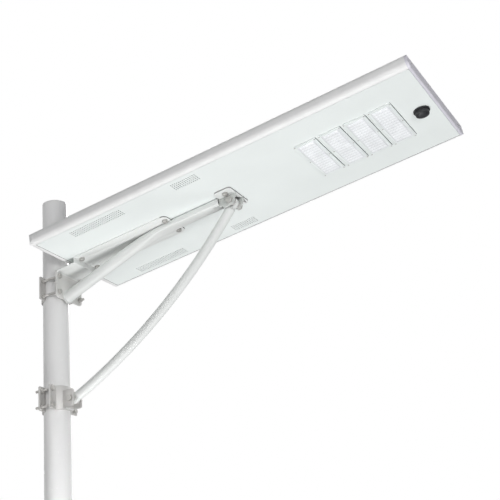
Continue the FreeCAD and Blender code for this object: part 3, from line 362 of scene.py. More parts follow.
# ------------------------------------------------------------------ mesh helpers, in millimetres
def finished(name, bm, slot, matrix, nodes=(), body="lamp", angle=32, extra=()):
    """Turn a bmesh into a shaded piece that rides on its body and stands for CAD nodes."""
    bmesh.ops.recalc_face_normals(bm, faces=bm.faces)
    data = bpy.data.meshes.new(name)
    bm.to_mesh(data)
    bm.free()
    data.transform(matrix)
    data.polygons.foreach_set("use_smooth", [True] * len(data.polygons))
    data.set_sharp_from_angle(angle=math.radians(angle))
    data.materials.append(MATERIALS[slot])
    for material in extra:
        data.materials.append(material)
    piece = bpy.data.objects.new(name, data)
    bpy.context.scene.collection.objects.link(piece)
    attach(piece, body)
    if nodes:
        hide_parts(*nodes)
    return piece


def facing(point, axis):
    """Matrix that stands local Z on a point, along an axis."""
    turn = Vector((0, 0, 1)).rotation_difference(Vector(axis)).to_matrix().to_4x4()
    return Matrix.Translation(point) @ turn


def skin(bm, rings, closed=True, caps=(True, True)):
    """Faces from ring to ring; closed rings, with flat ends if wanted."""
    rows = [[bm.verts.new(p) for p in ring] for ring in rings]
    count = len(rows[0])
    for a, b in zip(rows, rows[1:]):
        for i in range(count if closed else count - 1):
            j = (i + 1) % count
            bm.faces.new((a[i], a[j], b[j], b[i]))
    if caps[0]:
        bm.faces.new(rows[0][::-1])
    if caps[1]:
        bm.faces.new(rows[-1])
    return rows


def turned(bm, profile, place=Matrix(), segments=48, loop=False):
    """Surface of revolution round local Z from (radius, height) pairs."""
    rows = []
    for radius, height in profile:
        if radius < 1e-6:
            rows.append([bm.verts.new(place @ Vector((0, 0, height)))])
            continue
        ring = []
        for i in range(segments):
            a = 2 * math.pi * i / segments
            ring.append(bm.verts.new(place @ Vector((radius * math.cos(a), radius * math.sin(a), height))))
        rows.append(ring)
    pairs = list(zip(rows, rows[1:]))
    if loop:
        pairs.append((rows[-1], rows[0]))
    for a, b in pairs:
        if len(a) == 1 and len(b) == 1:
            continue
        for i in range(segments):
            j = (i + 1) % segments
            if len(a) == 1:
                bm.faces.new((a[0], b[j], b[i]))
            elif len(b) == 1:
                bm.faces.new((a[i], a[j], b[0]))
            else:
                bm.faces.new((a[i], a[j], b[j], b[i]))


def rounded(x0, x1, y0, y1, radius, steps=6):
    """Points round a rectangle with rounded corners."""
    points = []
    for cx, cy, start in ((x1 - radius, y1 - radius, 0), (x0 + radius, y1 - radius, 90),
                          (x0 + radius, y0 + radius, 180), (x1 - radius, y0 + radius, 270)):
        for i in range(steps + 1):
            a = math.radians(start + 90 * i / steps)
            points.append((cx + radius * math.cos(a), cy + radius * math.sin(a)))
    return points


def link_outline(c1, r1, c2, r2, steps=16):
    """Points round a flat link with a round end at each of two centres."""
    dx, dy = c2[0] - c1[0], c2[1] - c1[1]
    along = math.atan2(dy, dx)
    lean = math.acos((r1 - r2) / math.hypot(dx, dy))
    points = []
    for (cx, cy), r, first, last in ((c2, r2, along - lean, along + lean),
                                     (c1, r1, along + lean, along + 2 * math.pi - lean)):
        for i in range(steps + 1):
            a = first + (last - first) * i / steps
            points.append((cx + r * math.cos(a), cy + r * math.sin(a)))
    return points


def circle(cx, cy, radius, steps=32):
    """Points round a circle."""
    angles = [2 * math.pi * i / steps for i in range(steps)]
    return [(cx + radius * math.cos(a), cy + radius * math.sin(a)) for a in angles]


def level_ring(outline, height):
    """Outline of (x, y) pairs set at one height."""
    return [Vector((x, y, height)) for x, y in outline]


def punched(bm, outline, holes, low, high, place=Matrix(), bevel=0.0, segments=2):
    """Flat plate with holes, its rims eased over by bevel."""
    edges = []
    for loop in [outline] + list(holes):
        verts = [bm.verts.new(place @ Vector((x, y, low))) for x, y in loop]
        edges += [bm.edges.new((verts[i], verts[(i + 1) % len(verts)])) for i in range(len(verts))]
    filled = bmesh.ops.triangle_fill(bm, edges=edges, use_beauty=True)
    faces = [f for f in filled["geom"] if isinstance(f, bmesh.types.BMFace)]
    grown = bmesh.ops.extrude_face_region(bm, geom=faces, use_keep_orig=True)
    top = [v for v in grown["geom"] if isinstance(v, bmesh.types.BMVert)]
    lift = place.to_3x3() @ Vector((0, 0, high - low))
    bmesh.ops.translate(bm, verts=top, vec=lift)
    if bevel:
        flat = place.to_3x3() @ Vector((0, 0, 1))
        everything = set(faces) | {f for v in top for f in v.link_faces}
        rims = set()
        for face in everything:
            face.normal_update()
        for face in everything:
            for edge in face.edges:
                if len(edge.link_faces) == 2 and edge.calc_face_angle(0) > 1.2:
                    direction = (edge.verts[0].co - edge.verts[1].co).normalized()
                    if abs(direction.dot(flat)) < 0.5:
                        rims.add(edge)
        bmesh.ops.bevel(bm, geom=list(rims), offset=bevel, offset_type="OFFSET", segments=segments,
                        profile=0.5, affect="EDGES", clamp_overlap=True)


def eased(node, width, slot, body="lamp", sharp=28, angle=34, segments=2):
    """A copy of a CAD node whose sharp edges are rounded over, to stand for it."""
    bm = bmesh.new()
    bm.from_mesh(NODES[node].data)
    bmesh.ops.remove_doubles(bm, verts=bm.verts, dist=1e-6)
    bmesh.ops.dissolve_limit(bm, angle_limit=math.radians(0.4), verts=bm.verts, edges=bm.edges)
    rims = [e for e in bm.edges if len(e.link_faces) == 2 and e.calc_face_angle(0) > math.radians(sharp)]
    bmesh.ops.bevel(bm, geom=rims, offset=width * MM, offset_type="OFFSET", segments=segments, profile=0.5,
                    affect="EDGES", clamp_overlap=True)
    return finished("eased_" + node, bm, slot, Matrix(), (node,), body, angle)


def hex_form(bm, place, flats, height, bore=0.0):
    """Chamfered hexagon on local z = 0: a bolt head, or with a bore a nut."""
    segments = 48
    cone = 0.95 * flats / 2
    chamfer_slope = 0.577

    def ring(kind, z):
        points = []
        for i in range(segments):
            a = 2 * math.pi * i / segments
            edge = flats / 2 / math.cos(math.radians(math.degrees(a) % 60 - 30))
            drop = (edge - cone) * chamfer_slope
            if kind == "low":
                r, level = edge, z + (drop if bore else 0.15)
            elif kind == "high":
                r, level = edge, z - drop
            else:
                r, level = kind, z
            points.append(place @ Vector((r * math.cos(a), r * math.sin(a), level)))
        return points

    if bore:
        rings = [ring(bore + 0.6, 0), ring(cone, 0), ring("low", 0), ring("high", height), ring(cone, height),
                 ring(bore + 0.6, height), ring(bore, height - 0.6), ring(bore, 0.6)]
        rows = [[bm.verts.new(p) for p in r] for r in rings]
        for a, b in zip(rows, rows[1:] + rows[:1]):
            for i in range(segments):
                j = (i + 1) % segments
                bm.faces.new((a[i], a[j], b[j], b[i]))
    else:
        skin(bm, [ring(cone, 0), ring("low", 0), ring("high", height), ring(cone, height),
                  ring(cone * 0.8, height - 0.12)])


def threaded(bm, place, radius, length, thread, pitch, segments=18):
    """Shank along local Z whose last part carries a cut thread and a chamfered tip."""
    plain = length - thread
    levels = [-0.4, plain - 0.6]
    count = int(thread / pitch * 4)
    levels += [plain + thread * i / count for i in range(count + 1)]
    rings = []
    for k, z in enumerate(levels):
        ring = []
        for i in range(segments):
            a = 2 * math.pi * i / segments
            turn = (z / pitch - i / segments) % 1.0
            cut = 0.0 if k < 2 else 0.58 * pitch * (1 - abs(2 * turn - 1))
            tip = max(0.0, z - (length - 0.9))
            r = min(radius - cut, radius - tip * 1.1)
            ring.append(place @ Vector((r * math.cos(a), r * math.sin(a), z)))
        rings.append(ring)
    skin(bm, rings)


def plain_washer(bm, place):
    """Flat M8 washer with softened rims, on local z = 0."""
    outer, inner, height, soft = WASHER_RADIUS, WASHER_BORE, WASHER_HEIGHT, 0.25
    turned(bm, [(inner, 0), (outer - soft, 0), (outer, soft), (outer, height - soft), (outer - soft, height),
                (inner + soft, height), (inner, height - soft)], place, 40, loop=True)


def cross_screw(bm, place, radius, head, shank, length):
    """Pan head with a cross recess on local z = 0, and its short shank below."""
    segments, rings = 32, 7
    rows = [[place @ Vector((shank * math.cos(2 * math.pi * i / segments),
                             shank * math.sin(2 * math.pi * i / segments), z)) for i in range(segments)]
            for z in (-length, 0.0)]
    for k in range(rings + 1):
        share = 1 - k / (rings + 0.6)
        r = radius * share
        row = []
        for i in range(segments):
            a = 2 * math.pi * i / segments
            x, y = r * math.cos(a), r * math.sin(a)
            z = head * math.sqrt(max(0.0, 1 - share ** 2.6))
            arm = min(abs(x), abs(y)) < 0.15 * radius and r < 0.62 * radius
            if arm:
                z -= 0.45 * head
            row.append(place @ Vector((x, y, max(z, 0.02))))
        rows.append(row)
    skin(bm, rows)


def weld(bm, points, radius, closed=False, pitch=1.7):
    """Bead along a path, with the ripples that a torch leaves."""
    path = [Vector(p) for p in points]
    if closed:
        path.append(path[0])
    fine = []
    for a, b in zip(path, path[1:]):
        count = max(1, round((b - a).length / 0.55))
        fine += [a.lerp(b, i / count) for i in range(count)]
    if not closed:
        fine.append(path[-1])
    rings = []
    run = 0.0
    for k, p in enumerate(fine):
        before = fine[k - 1] if k or closed else p
        after = fine[(k + 1) % len(fine)] if k + 1 < len(fine) or closed else p
        ahead = (after - before).normalized()
        if rings:
            side = (side - ahead * side.dot(ahead)).normalized()
        else:
            side = ahead.orthogonal().normalized()
        up = ahead.cross(side)
        if k:
            run += (p - fine[k - 1]).length
        swell = radius * (0.84 + 0.2 * abs(math.sin(math.pi * run / pitch)))
        if not closed and k in (0, len(fine) - 1):
            swell *= 0.45
        rings.append([p + (side * math.cos(a) + up * math.sin(a)) * swell
                      for a in (2 * math.pi * i / 10 for i in range(10))])
    if closed:
        rings.append([v.copy() for v in rings[0]])
        skin(bm, rings, caps=(False, False))
        bmesh.ops.remove_doubles(bm, verts=bm.verts, dist=0.0005)
    else:
        skin(bm, rings)


def scaled(frame_matrix):
    """Matrix from millimetres in one of the three frames to metres in the world."""
    return frame_matrix @ Matrix.Scale(MM, 4)


# ------------------------------------------------------------------ pole
bm = bmesh.new()
tube = [(POLE_BORE, 0.6), (POLE_BORE + 0.6, 0), (POLE_RADIUS - 0.6, 0), (POLE_RADIUS, 0.6),
        (POLE_RADIUS, POLE_HEIGHT - 0.2), (POLE_RADIUS - 0.2, POLE_HEIGHT), (POLE_BORE + 0.2, POLE_HEIGHT),
        (POLE_BORE, POLE_HEIGHT - 0.2)]
turned(bm, tube, segments=128, loop=True)
finished("pole_shaft", bm, "painted_pole", scaled(WORLD), ("pole_tube",), "pole")
bm = bmesh.new()
lid = [(0, 0.02), (POLE_RADIUS - 0.3, 0.02), (POLE_RADIUS, 0.3), (POLE_RADIUS, 1.8), (POLE_RADIUS - 0.2, 2.5),
       (POLE_RADIUS - 0.7, 2.9), (POLE_RADIUS - 1.4, 3), (0, 3)]
turned(bm, [(radius, POLE_HEIGHT + height) for radius, height in lid], segments=128)
finished("pole_lid", bm, "painted_pole", scaled(WORLD), ("pole_cap",), "pole")

# ------------------------------------------------------------------ strut: bent tube with flat tongues
top_eye = LAMP_TURN @ Vector((PIVOT_U, 0, PIVOT_N))
foot_eye = Vector((FOOT_X, 0, FOOT_Z))
chord = top_eye - foot_eye
bend_depth = math.sqrt(STRUT_CURVE ** 2 - (chord.length / 2) ** 2)
bend_centre = (top_eye + foot_eye) / 2 + Vector((-chord.z, 0, chord.x)).normalized() * bend_depth
foot_angle = math.atan2(foot_eye.z - bend_centre.z, foot_eye.x - bend_centre.x)
top_angle = math.atan2(top_eye.z - bend_centre.z, top_eye.x - bend_centre.x)


def on_bend(angle, radius=STRUT_CURVE):
    """Point in the strut's plane at an angle and a radius from its bend centre."""
    return bend_centre + Vector((radius * math.cos(angle), 0, radius * math.sin(angle)))


eye_to_tube = 18 / STRUT_CURVE
tube_start = foot_angle + eye_to_tube
tube_stop = top_angle - eye_to_tube
tube_length = (tube_stop - tube_start) * STRUT_CURVE
strut_stations = 72
soft_end = [(0.0, 12.6), (0.0, 13.5), (0.5, STRUT_RADIUS)]
profile = soft_end + [(tube_length * i / strut_stations, STRUT_RADIUS) for i in range(1, strut_stations)]
profile += [(tube_length - distance, radius) for distance, radius in reversed(soft_end)]
rings = []
for distance, r in profile:
    ring = []
    for i in range(64):
        a = 2 * math.pi * i / 64
        p = on_bend(tube_start + distance / STRUT_CURVE, STRUT_CURVE + r * math.cos(a))
        p.y = r * math.sin(a)
        ring.append(p)
    rings.append(ring)
bm = bmesh.new()
skin(bm, rings)
tongue_reach = 40.0 / STRUT_CURVE
upright = Matrix(((1, 0, 0, 0), (0, 0, -1, 0), (0, 1, 0, 0), (0, 0, 0, 1)))
for eye, inner, hole in ((foot_eye, on_bend(foot_angle + tongue_reach), FOOT_HOLE),
                         (top_eye, on_bend(top_angle - tongue_reach), PIVOT_HOLE)):
    outline = link_outline((eye.x, eye.z), 13, (inner.x, inner.z), 8.5)
    punched(bm, outline, [circle(eye.x, eye.z, hole)], -5, 5, upright, 0.9)
finished("strut_arc", bm, "bracket_white", scaled(BRACKET), ("strut",))

# ------------------------------------------------------------------ arm: round at first, flat under the lamp
arm_start = Vector((44, 0, -86))
arm_corner = Vector((349, 0, ARM_FLAT_N))
arm_slope = (arm_corner - arm_start).normalized()
bend_reach = ARM_CURVE * math.tan(arm_slope.angle(X_AXIS) / 2)
bend_start_u = (arm_corner - arm_slope * bend_reach).x
bend_end_u = arm_corner.x + bend_reach
bend_middle = Vector((bend_end_u, 0, ARM_FLAT_N - ARM_CURVE))


def eased_step(value, start, length):
    """Smooth rise from 0 to 1 over a length from a start."""
    share = min(1.0, max(0.0, (value - start) / length))
    return share * share * (3 - 2 * share)


def arm_section(u, shrink, count=64):
    """Ring of points round the arm, square to its centre line; shrink takes it in from the outer skin.

    Where the mounting plate has ended, the top of the outer skin rises to just under the bottom plate.
    """
    if u <= bend_start_u:
        n = arm_start.z + arm_slope.z / arm_slope.x * (u - arm_start.x)
        slope = math.atan2(arm_slope.z, arm_slope.x)
    elif u >= bend_end_u:
        n, slope = ARM_FLAT_N, 0.0
    else:
        rise = math.sqrt(ARM_CURVE ** 2 - (u - bend_middle.x) ** 2)
        n, slope = bend_middle.z + rise, math.atan2(bend_middle.x - u, rise)
    press = eased_step(u, PRESS_START_U, PRESS_LENGTH)
    half_height = ARM_RADIUS + (PRESSED_HALF_HEIGHT - ARM_RADIUS) * press - shrink
    half_flat = 0.1 + PRESSED_SPREAD * press
    square = 1 - 0.35 * press
    lift = 2.8 * eased_step(u, MOUNTING_PLATE_END_U + 0.9, 14) if shrink < ARM_WALL else 0.0
    ring = []
    for i in range(count):
        a = 2 * math.pi * (i + 0.5) / count
        across = half_height * abs(math.cos(a)) ** square + half_flat
        side = math.copysign(across, math.cos(a))
        up = math.copysign(half_height * abs(math.sin(a)) ** square, math.sin(a))
        up += lift * max(0.0, up / half_height)
        ring.append(Vector((u - math.sin(slope) * up, ARM_V + side, n + math.cos(slope) * up)))
    return ring


along_arm = LAMP_TURN @ arm_slope


def on_plate(ring):
    """Slide a ring back along the arm to the face of the mast plate."""
    moved = []
    for p in ring:
        q = LAMP_TURN @ p
        q -= along_arm * ((q.x - MAST_PLATE_FACE - 0.05) / along_arm.x)
        moved.append(LAMP_TURN.inverted() @ q)
    return moved


arm_stations = [u for u in range(55, 588, 6)] + [ARM_END_U - 0.6, ARM_END_U]
outer = [arm_section(u, 0.0 if u < ARM_END_U else 0.5) for u in arm_stations]
inner = [arm_section(u, ARM_WALL) for u in reversed(arm_stations)]
bm = bmesh.new()
rows = skin(bm, [on_plate(outer[0])] + outer + inner + [on_plate(inner[-1])], caps=(False, False))
for i in range(64):
    j = (i + 1) % 64
    bm.faces.new((rows[-1][i], rows[-1][j], rows[0][j], rows[0][i]))
finished("arm_tube", bm, "bracket_white", scaled(LAMP), ("support_arm",))


# ------------------------------------------------------------------ plates, lugs and bands with eased edges
def paint_rim_shadow(piece, depth, tone, below=None):
    """Paint the upright rim of a sheet under the lamp dark, down to a depth in millimetres: painted shadow of
    the gap along its edge.

    Everything lower down takes the paint below, if one is given.
    """
    piece.data.materials.append(moulded("painted_rim_shadow", (tone, tone, tone), 0.6))
    if below:
        piece.data.materials.append(below)
    up = LAMP_TURN @ Z_AXIS
    for face in piece.data.polygons:
        level = (LAMP.inverted() @ face.center).z
        if abs(face.normal.dot(up)) < 0.3 and level > -depth * MM:
            face.material_index = 1
        elif below and level < -depth * MM:
            face.material_index = 2


# The dark rims of the mounting plate and the hinge bracket's sheet are painted shadow along their edges
paint_rim_shadow(eased("mounting_plate", 0.3, "bracket_white"), 3.2, 0.11)
# Below its rim, the hinge bracket's ears take the grey painted-shade tone
paint_rim_shadow(eased("hinge_bracket", 0.4, "bracket_white"), 4.2, 0.32, LUG_SHADE_PAINT)
# The arm's end lug, the mast plate and the mast saddles take their darker painted-shade tones
for node, width, paint in (("arm_end_lug", 0.5, LUG_SHADE_PAINT), ("mast_plate", 0.7, MAST_SHADE_PAINT),
                           ("mast_saddles", 0.5, MAST_SHADE_PAINT)):
    eased(node, width, "bracket_white").data.materials[0] = paint
for node in ("upper_rear_band", "lower_rear_band", "lower_front_band", "foot_lug"):
    eased(node, 0.5, "bare_steel")

# ------------------------------------------------------------------ bolts, nuts and washers
def bolt(bm, seat, axis, size, length, thread):
    """Head on the seat, shank along the axis; thread is the length that is cut."""
    flats, head, _, radius, pitch = size
    hex_form(bm, facing(seat, -axis), flats, head)
    threaded(bm, facing(seat, axis), radius, length, thread, pitch)


def nut(bm, seat, axis, size):
    """Nut on the seat, its far face along the axis."""
    flats, _, nut_height, radius, _ = size
    hex_form(bm, facing(seat, axis), flats, nut_height, radius + NUT_CLEARANCE)


def band_back(degrees):
    """X at which an ear leaves the rear band, at an angle in degrees from the band's back."""
    return -BAND_RADIUS * math.cos(math.radians(degrees))


UPPER_BOLT_Y, LOWER_BOLT_Y = 47.5, 50.0
UPPER_BOLT_LEVELS, LOWER_BOLT_LEVELS = (-75.0, -27.0), (-410.0, -362.0)
EAR = 4
UPPER_TAIL, LOWER_TAIL = 5.4, 18  # how far a bolt's tip stands out behind the ear
REVERSED_BOLT_TIP_X = 67  # tip of the two upper bolts that are put in from behind
upper_ear, lower_ear = band_back(77), band_back(70)
upper_seat = MAST_PLATE_FACE + WASHER_HEIGHT
lower_seat = BAND_RADIUS * math.cos(math.radians(60)) + EAR + WASHER_HEIGHT
upper, lower, nuts, washers = bmesh.new(), bmesh.new(), bmesh.new(), bmesh.new()
front_length = upper_seat - (upper_ear - EAR - UPPER_TAIL)
reversed_length = REVERSED_BOLT_TIP_X - (upper_ear - EAR)
for z in UPPER_BOLT_LEVELS:
    bolt(upper, Vector((upper_seat, -UPPER_BOLT_Y, z)), -X_AXIS, M8, front_length, 30)
    bolt(upper, Vector((upper_ear - EAR, UPPER_BOLT_Y, z)), X_AXIS, M8, reversed_length, 34)
    nut(nuts, (upper_ear, -UPPER_BOLT_Y, z), X_AXIS, M8)
    nut(nuts, (upper_seat, UPPER_BOLT_Y, z), X_AXIS, M8)
    for side in (-1, 1):
        plain_washer(washers, facing((MAST_PLATE_FACE, side * UPPER_BOLT_Y, z), X_AXIS))
for z in LOWER_BOLT_LEVELS:
    for side in (-1, 1):
        y = side * LOWER_BOLT_Y
        bolt(lower, Vector((lower_seat, y, z)), -X_AXIS, M8, lower_seat - (lower_ear - EAR - LOWER_TAIL), 40)
        nut(nuts, (lower_ear, y, z), X_AXIS, M8)
        plain_washer(washers, facing((lower_seat - WASHER_HEIGHT, y, z), X_AXIS))
for name, bm, node in (("upper_clamp_bolt_set", upper, "upper_clamp_bolts"),
                       ("lower_clamp_bolt_set", lower, "lower_clamp_bolts"),
                       ("clamp_nut_set", nuts, "clamp_nuts"), ("clamp_washer_set", washers, "clamp_washers")):
    finished(name, bm, "fastener_steel", scaled(BRACKET), (node,))

# Each bolt holds a sheet under the lamp: its place along the lamp and the sheet's thickness
SHEET = 2
bolts, nuts, washers = bmesh.new(), bmesh.new(), bmesh.new()
for u, under in ((127, 3), (420, 3), (620, 4)):
    for v in (-37.3, 37.3):
        seat_n = -under - WASHER_HEIGHT
        plain_washer(washers, facing((u, v, -under), -Z_AXIS))
        bolt(bolts, Vector((u, v, seat_n)), Z_AXIS, M8, SHEET - seat_n + M8[2] + 3, 12)
        nut(nuts, (u, v, SHEET), Z_AXIS, M8)
for name, bm, node in (("lamp_bolt_set", bolts, "lamp_mount_bolts"),
                       ("lamp_nut_set", nuts, "lamp_mount_nuts"),
                       ("lamp_washer_set", washers, "lamp_mount_washers")):
    finished(name, bm, "fastener_steel", scaled(LAMP), (node,))

for name, x, half_width, z, size, place in (("pivot", PIVOT_U, 24, PIVOT_N, M12, LAMP),
                                            ("foot", FOOT_X, 20, FOOT_Z, M10, BRACKET)):
    nut_height = size[2]
    bm = bmesh.new()
    bolt(bm, Vector((x, -half_width, z)), Y_AXIS, size, 2 * half_width + nut_height + 4, nut_height + 8)
    finished(name + "_hex_bolt", bm, "fastener_steel", scaled(place), (name + "_bolt",))
    bm = bmesh.new()
    nut(bm, (x, half_width, z), Y_AXIS, size)
    finished(name + "_hex_nut", bm, "fastener_steel", scaled(place), (name + "_nut",))

# ------------------------------------------------------------------ small screws
MODULE_CENTRES = [MODULE_FIRST_U + MODULE_PITCH * k for k in range(MODULE_COUNT)]
bm = bmesh.new()
for k in range(6):
    for v in (-190.5, 190.5):
        cross_screw(bm, facing((110.5 + 190 * k, v, 0), -Z_AXIS), 2.2, 0.6, 1.1, 4.2)
finished("plate_screw_set", bm, "plate_white", scaled(LAMP), ("bottom_plate_screws",))
bm = bmesh.new()
for centre in MODULE_CENTRES:
    for du in (-29.4, 29.4):
        for v in (-95.4, 0, 95.4):
            cross_screw(bm, facing((centre + du, v, -4.1), -Z_AXIS), 2.2, 1.0, 1.2, 3.5)
finished("module_screw_set", bm, "fastener_steel", scaled(LAMP), ("led_module_screws",))
bm = bmesh.new()
for u, axis in ((LAMP_POLE_END_U, -X_AXIS), (LAMP_LIT_END_U, X_AXIS)):
    for v in (-180, -60, 60, 180):
        cross_screw(bm, facing((u, v, END_CAP_N), axis), 3.5, 1.2, 1.4, 2.4)
finished("cap_screw_set", bm, "fastener_steel", scaled(LAMP), ("end_cap_screws",))


# ------------------------------------------------------------------ LED modules
def emitter_places(centre, length_u, length_v):
    """Centres of the LEDs of one module, spread evenly over a field."""
    for a in range(EMITTERS_U):
        for b in range(EMITTERS_V):
            yield (centre + length_u * ((a + 0.5) / EMITTERS_U - 0.5),
                   length_v * ((b + 0.5) / EMITTERS_V - 0.5))


def paint_from(bm, first_face):
    """Give the second material to all faces made since a count of faces."""
    bm.faces.ensure_lookup_table()
    for face in bm.faces[first_face:]:
        face.material_index = 1


LENS_DOME = [(0, 0.05), (1.0, 0.05), (0.95, -0.3), (0.84, -0.56), (0.66, -0.76), (0.4, -0.9), (0, -0.95)]
CHIP_DOME = [(0, -0.5), (1.15, -0.5), (1.15, -0.58), (0.85, -0.72), (0, -0.78)]
for k, centre in enumerate(MODULE_CENTRES):
    number = "%d" % (k + 1)
    eased("led_heat_sink_" + number, 0.45, "heat_sink_aluminium")

    bm = bmesh.new()
    punched(bm, rounded(centre - 25, centre + 25, -91, 91, 1.0), [], 0, 1.6, bevel=0.15)
    for x, y in emitter_places(centre, 45, 176):
        package = rounded(x - 1.5, x + 1.5, y - 1.5, y + 1.5, 0.4, 2)
        skin(bm, [level_ring(package, 0.05), level_ring(package, -0.55)])
    board_faces = len(bm.faces)
    for x, y in emitter_places(centre, 45, 176):
        turned(bm, CHIP_DOME, Matrix.Translation((x, y, 0)), 12)
    paint_from(bm, board_faces)
    finished("led_board_piece_" + number, bm, "board_white", scaled(LAMP), ("led_board_" + number,),
             extra=(PHOSPHOR,))

    bm = bmesh.new()
    punched(bm, rounded(centre - 24.7, centre + 24.7, -90.7, 90.7, 1.5), [], -4.1, -2.1, bevel=0.2)
    punched(bm, rounded(centre - 22.5, centre + 22.5, -88, 88, 3.0), [], -5.6, -4.05, bevel=0.6)
    for x, y in emitter_places(centre, 44, 174):
        place = Matrix.Translation((x, y, -5.5)) @ Matrix.Diagonal((4.05, 5.75, 1, 1))
        turned(bm, LENS_DOME, place, 20)
    finished("led_lens_piece_" + number, bm, "lens_plastic", scaled(LAMP), ("led_lens_" + number,))

# The gaskets are pale under the frames; the dark bead along one side of each frame is painted shade, standing
# for the shaded side face of the frame
bm = bmesh.new()
for centre in MODULE_CENTRES:
    gasket = rounded(centre - 31.5, centre + 31.5, -97.5, 97.5, 2.0)
    punched(bm, gasket, [rounded(centre - 27.5, centre + 27.5, -93.5, 93.5, 1.0, 2)], -0.6, 0)
pale_faces = len(bm.faces)
for centre in MODULE_CENTRES:
    side = centre + 32.2
    bead = [(side, -1.2), (side + 0.4, -1.0), (side + 0.6, -0.5), (side + 0.6, 0), (side, 0)]
    skin(bm, [[Vector((x, v, z)) for x, z in bead] for v in (-96.0, 97.0)])
paint_from(bm, pale_faces)
finished("module_gasket_set", bm, "board_white", scaled(LAMP), ("led_gaskets",),
         extra=(MATERIALS["rubber_seal"],))

# ------------------------------------------------------------------ dark strip in the bottom plate's seam: painted shadow of the gap
bm = bmesh.new()
for u0, u1, v0, v1 in ((88.0, 1240.4, 197.0, 198.1), (87.4, 88.5, -197.4, 198.1)):
    seam = rounded(u0, u1, v0, v1, 0.3, 3)
    skin(bm, [level_ring(seam, 0.3), level_ring(seam, -0.15)])
finished("seam_painted_shadow", bm, "rubber_seal", scaled(LAMP))

# ------------------------------------------------------------------ motion sensor
sensor_place = Matrix.Translation((SENSOR_U, 0, 0))
bm = bmesh.new()
turned(bm, [(0, 14), (15.6, 14), (16, 13.6), (16, 0.02), (21.6, 0.02), (22, -0.4), (22, -3.0), (21.6, -3.7),
            (20.9, -4.0), (19.6, -4.0), (19.4, -3.6), (18.8, -3.6), (0, -3.6)], sensor_place, 72)
finished("sensor_ring", bm, "black_plastic", scaled(LAMP), ("sensor_base",))
bm = bmesh.new()
turned(bm, [(0, -3.7), (18.1, -3.7), (18.5, -4.1), (18.5, -6.0), (18.2, -6.3), (18.2, -6.7), (18.5, -7.0),
            (18.5, -12.6), (18.2, -13.2), (17.6, -13.5), (16.4, -13.6), (0, -13.6)], sensor_place, 72)
facets = []
for k, (r, n) in enumerate(((16.4, -13.5), (14.9, -15.2), (11.2, -16.9), (6.2, -17.8))):
    angles = [2 * math.pi * (i + 0.5 * (k % 2)) / 16 for i in range(16)]
    facets.append([Vector((SENSOR_U + r * math.cos(a), r * math.sin(a), n)) for a in angles])
skin(bm, facets)
finished("sensor_drum", bm, "black_plastic", scaled(LAMP), ("sensor_lens",), angle=12)

# ------------------------------------------------------------------ power switch
switch_place = facing((LAMP_POLE_END_U, 140, END_CAP_N), -X_AXIS)
bm = bmesh.new()
turned(bm, [(6.35, 0.02), (8.8, 0.02), (9.0, 0.25), (9.0, 1.0), (8.4, 1.8), (7.9, 2.0), (7.2, 2.0),
            (6.5, 1.5), (6.35, 1.3)], switch_place, 64, loop=True)
turned(bm, [(6.35, -2.5), (9, -2.5), (9, -14.0), (0, -14.0), (0, -12.2), (6.35, -12.2)], switch_place, 48,
       loop=True)
finished("switch_bezel", bm, "black_plastic", scaled(LAMP), ("power_switch",))
bm = bmesh.new()
turned(bm, [(0, -7.4), (5.9, -7.4), (6.0, -7.2), (6.0, 4.0), (5.7, 4.6), (5.1, 4.9), (4.4, 5.0), (4.2, 4.7),
            (3.7, 4.7), (3.5, 5.0), (0, 4.9)], switch_place, 64)
finished("button_cap", bm, "button_plastic", scaled(LAMP), ("power_button",), "button")

# ------------------------------------------------------------------ solar side
eased("solar_glass", 0.5, "panel_glass")
PANEL_U, PANEL_V, PANEL_MARGIN, CELL_GAP, CELL_CORNER = 1146.5, 374.8, 6, 2, 7.0
cell_pitch_u = (PANEL_U - 2 * PANEL_MARGIN) / CELLS_U
cell_pitch_v = (PANEL_V - 2 * PANEL_MARGIN) / CELLS_V
cell_height = cell_pitch_v - CELL_GAP
cell_rows = [CELL_START_V + PANEL_MARGIN + j * cell_pitch_v for j in range(CELLS_V)]
bm = bmesh.new()
for i in range(CELLS_U):
    for v0 in cell_rows:
        u0 = CELL_START_U + PANEL_MARGIN + i * cell_pitch_u
        u1, v1, c = u0 + cell_pitch_u - CELL_GAP, v0 + cell_height, CELL_CORNER
        outline = [(u0 + c, v0), (u1 - c, v0), (u1, v0 + c), (u1, v1 - c), (u1 - c, v1), (u0 + c, v1),
                   (u0, v1 - c), (u0, v0 + c)]
        skin(bm, [level_ring(outline, 34.9), level_ring(outline, 35.16)])
finished("cell_sheets", bm, "silicon_cell", scaled(LAMP), ("solar_cells",))
bm = bmesh.new()
ribbon_start, ribbon_end = CELL_START_U + 8, CELL_START_U + 1138.5
for v0 in cell_rows:
    for k in range(4):
        v = v0 + cell_height * (k + 0.5) / 4
        ribbon = [(ribbon_start, v - 0.7), (ribbon_end, v - 0.7), (ribbon_end, v + 0.7),
                  (ribbon_start, v + 0.7)]
        skin(bm, [level_ring(ribbon, 35.17), level_ring(ribbon, 35.26)])
finished("cell_ribbons", bm, "fastener_steel", scaled(LAMP))

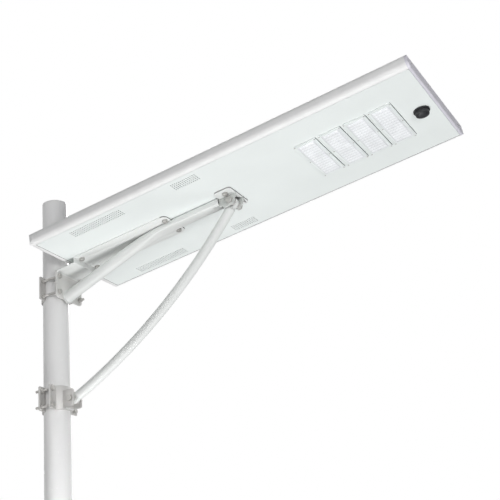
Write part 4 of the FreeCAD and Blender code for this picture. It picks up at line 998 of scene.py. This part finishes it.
# ------------------------------------------------------------------ weld beads, in the bracket's frame
bm = bmesh.new()
axis_point = LAMP_TURN @ Vector((44, ARM_V, -86))
around = along_arm.cross(Y_AXIS).normalized()
arm_foot = []
for i in range(56):
    a = 2 * math.pi * i / 56
    p = axis_point + Y_AXIS * (17.6 * math.cos(a)) + around * (17.6 * math.sin(a))
    arm_foot.append(p - along_arm * ((p.x - MAST_PLATE_FACE - 1) / along_arm.x))
weld(bm, arm_foot, 2.2, closed=True)
weld(bm, [(MAST_PLATE_FACE + 1, -56, -14.9), (MAST_PLATE_FACE + 1, 56, -14.9)], 1.9)
for v in (-25.1, 25.1):
    weld(bm, [LAMP_TURN @ Vector((u, v, -5.0)) for u in (613, 645)], 1.8)
weld(bm, [LAMP_TURN @ Vector((u, -21.0, -20.4)) for u in (569, 587)], 1.5)
for angle in (tube_start, tube_stop):
    for flank in (-5.6, 5.6):
        path = [on_bend(angle, STRUT_CURVE + reach) for reach in (-11.0, 11.0)]
        for p in path:
            p.y = flank
        weld(bm, path, 1.5)
for z in (-416.6, -364.4):
    weld(bm, [(44.6, -17, z), (44.6, 17, z)], 1.6)
finished("weld_beads", bm, "bracket_white", scaled(BRACKET))

# ------------------------------------------------------------------ floor
bm = bmesh.new()
bmesh.ops.create_grid(bm, x_segments=2, y_segments=2, size=40)
floor_data = bpy.data.meshes.new("floor")
bm.to_mesh(floor_data)
bm.free()
floor = bpy.data.objects.new("floor", floor_data)
floor.location = (0, 0, -4)
bpy.context.scene.collection.objects.link(floor)
paving = Shader("floor")
paving.set(Roughness=0.9, Emission_Color=(1, 1, 1, 1))
seen_directly = paving.node("ShaderNodeLightPath").outputs["Is Camera Ray"]
pale = paving.mixed(paving.noise(2.0), (0.86, 0.86, 0.86), (0.88, 0.88, 0.88))
paving.link(paving.remap(seen_directly, 0, 1, 0, 0.42), paving.bsdf.inputs["Emission Strength"])
floor_data.materials.append(paving.done(paving.mixed(seen_directly, (0.35, 0.35, 0.35), pale)))

bpy.context.view_layer.update()
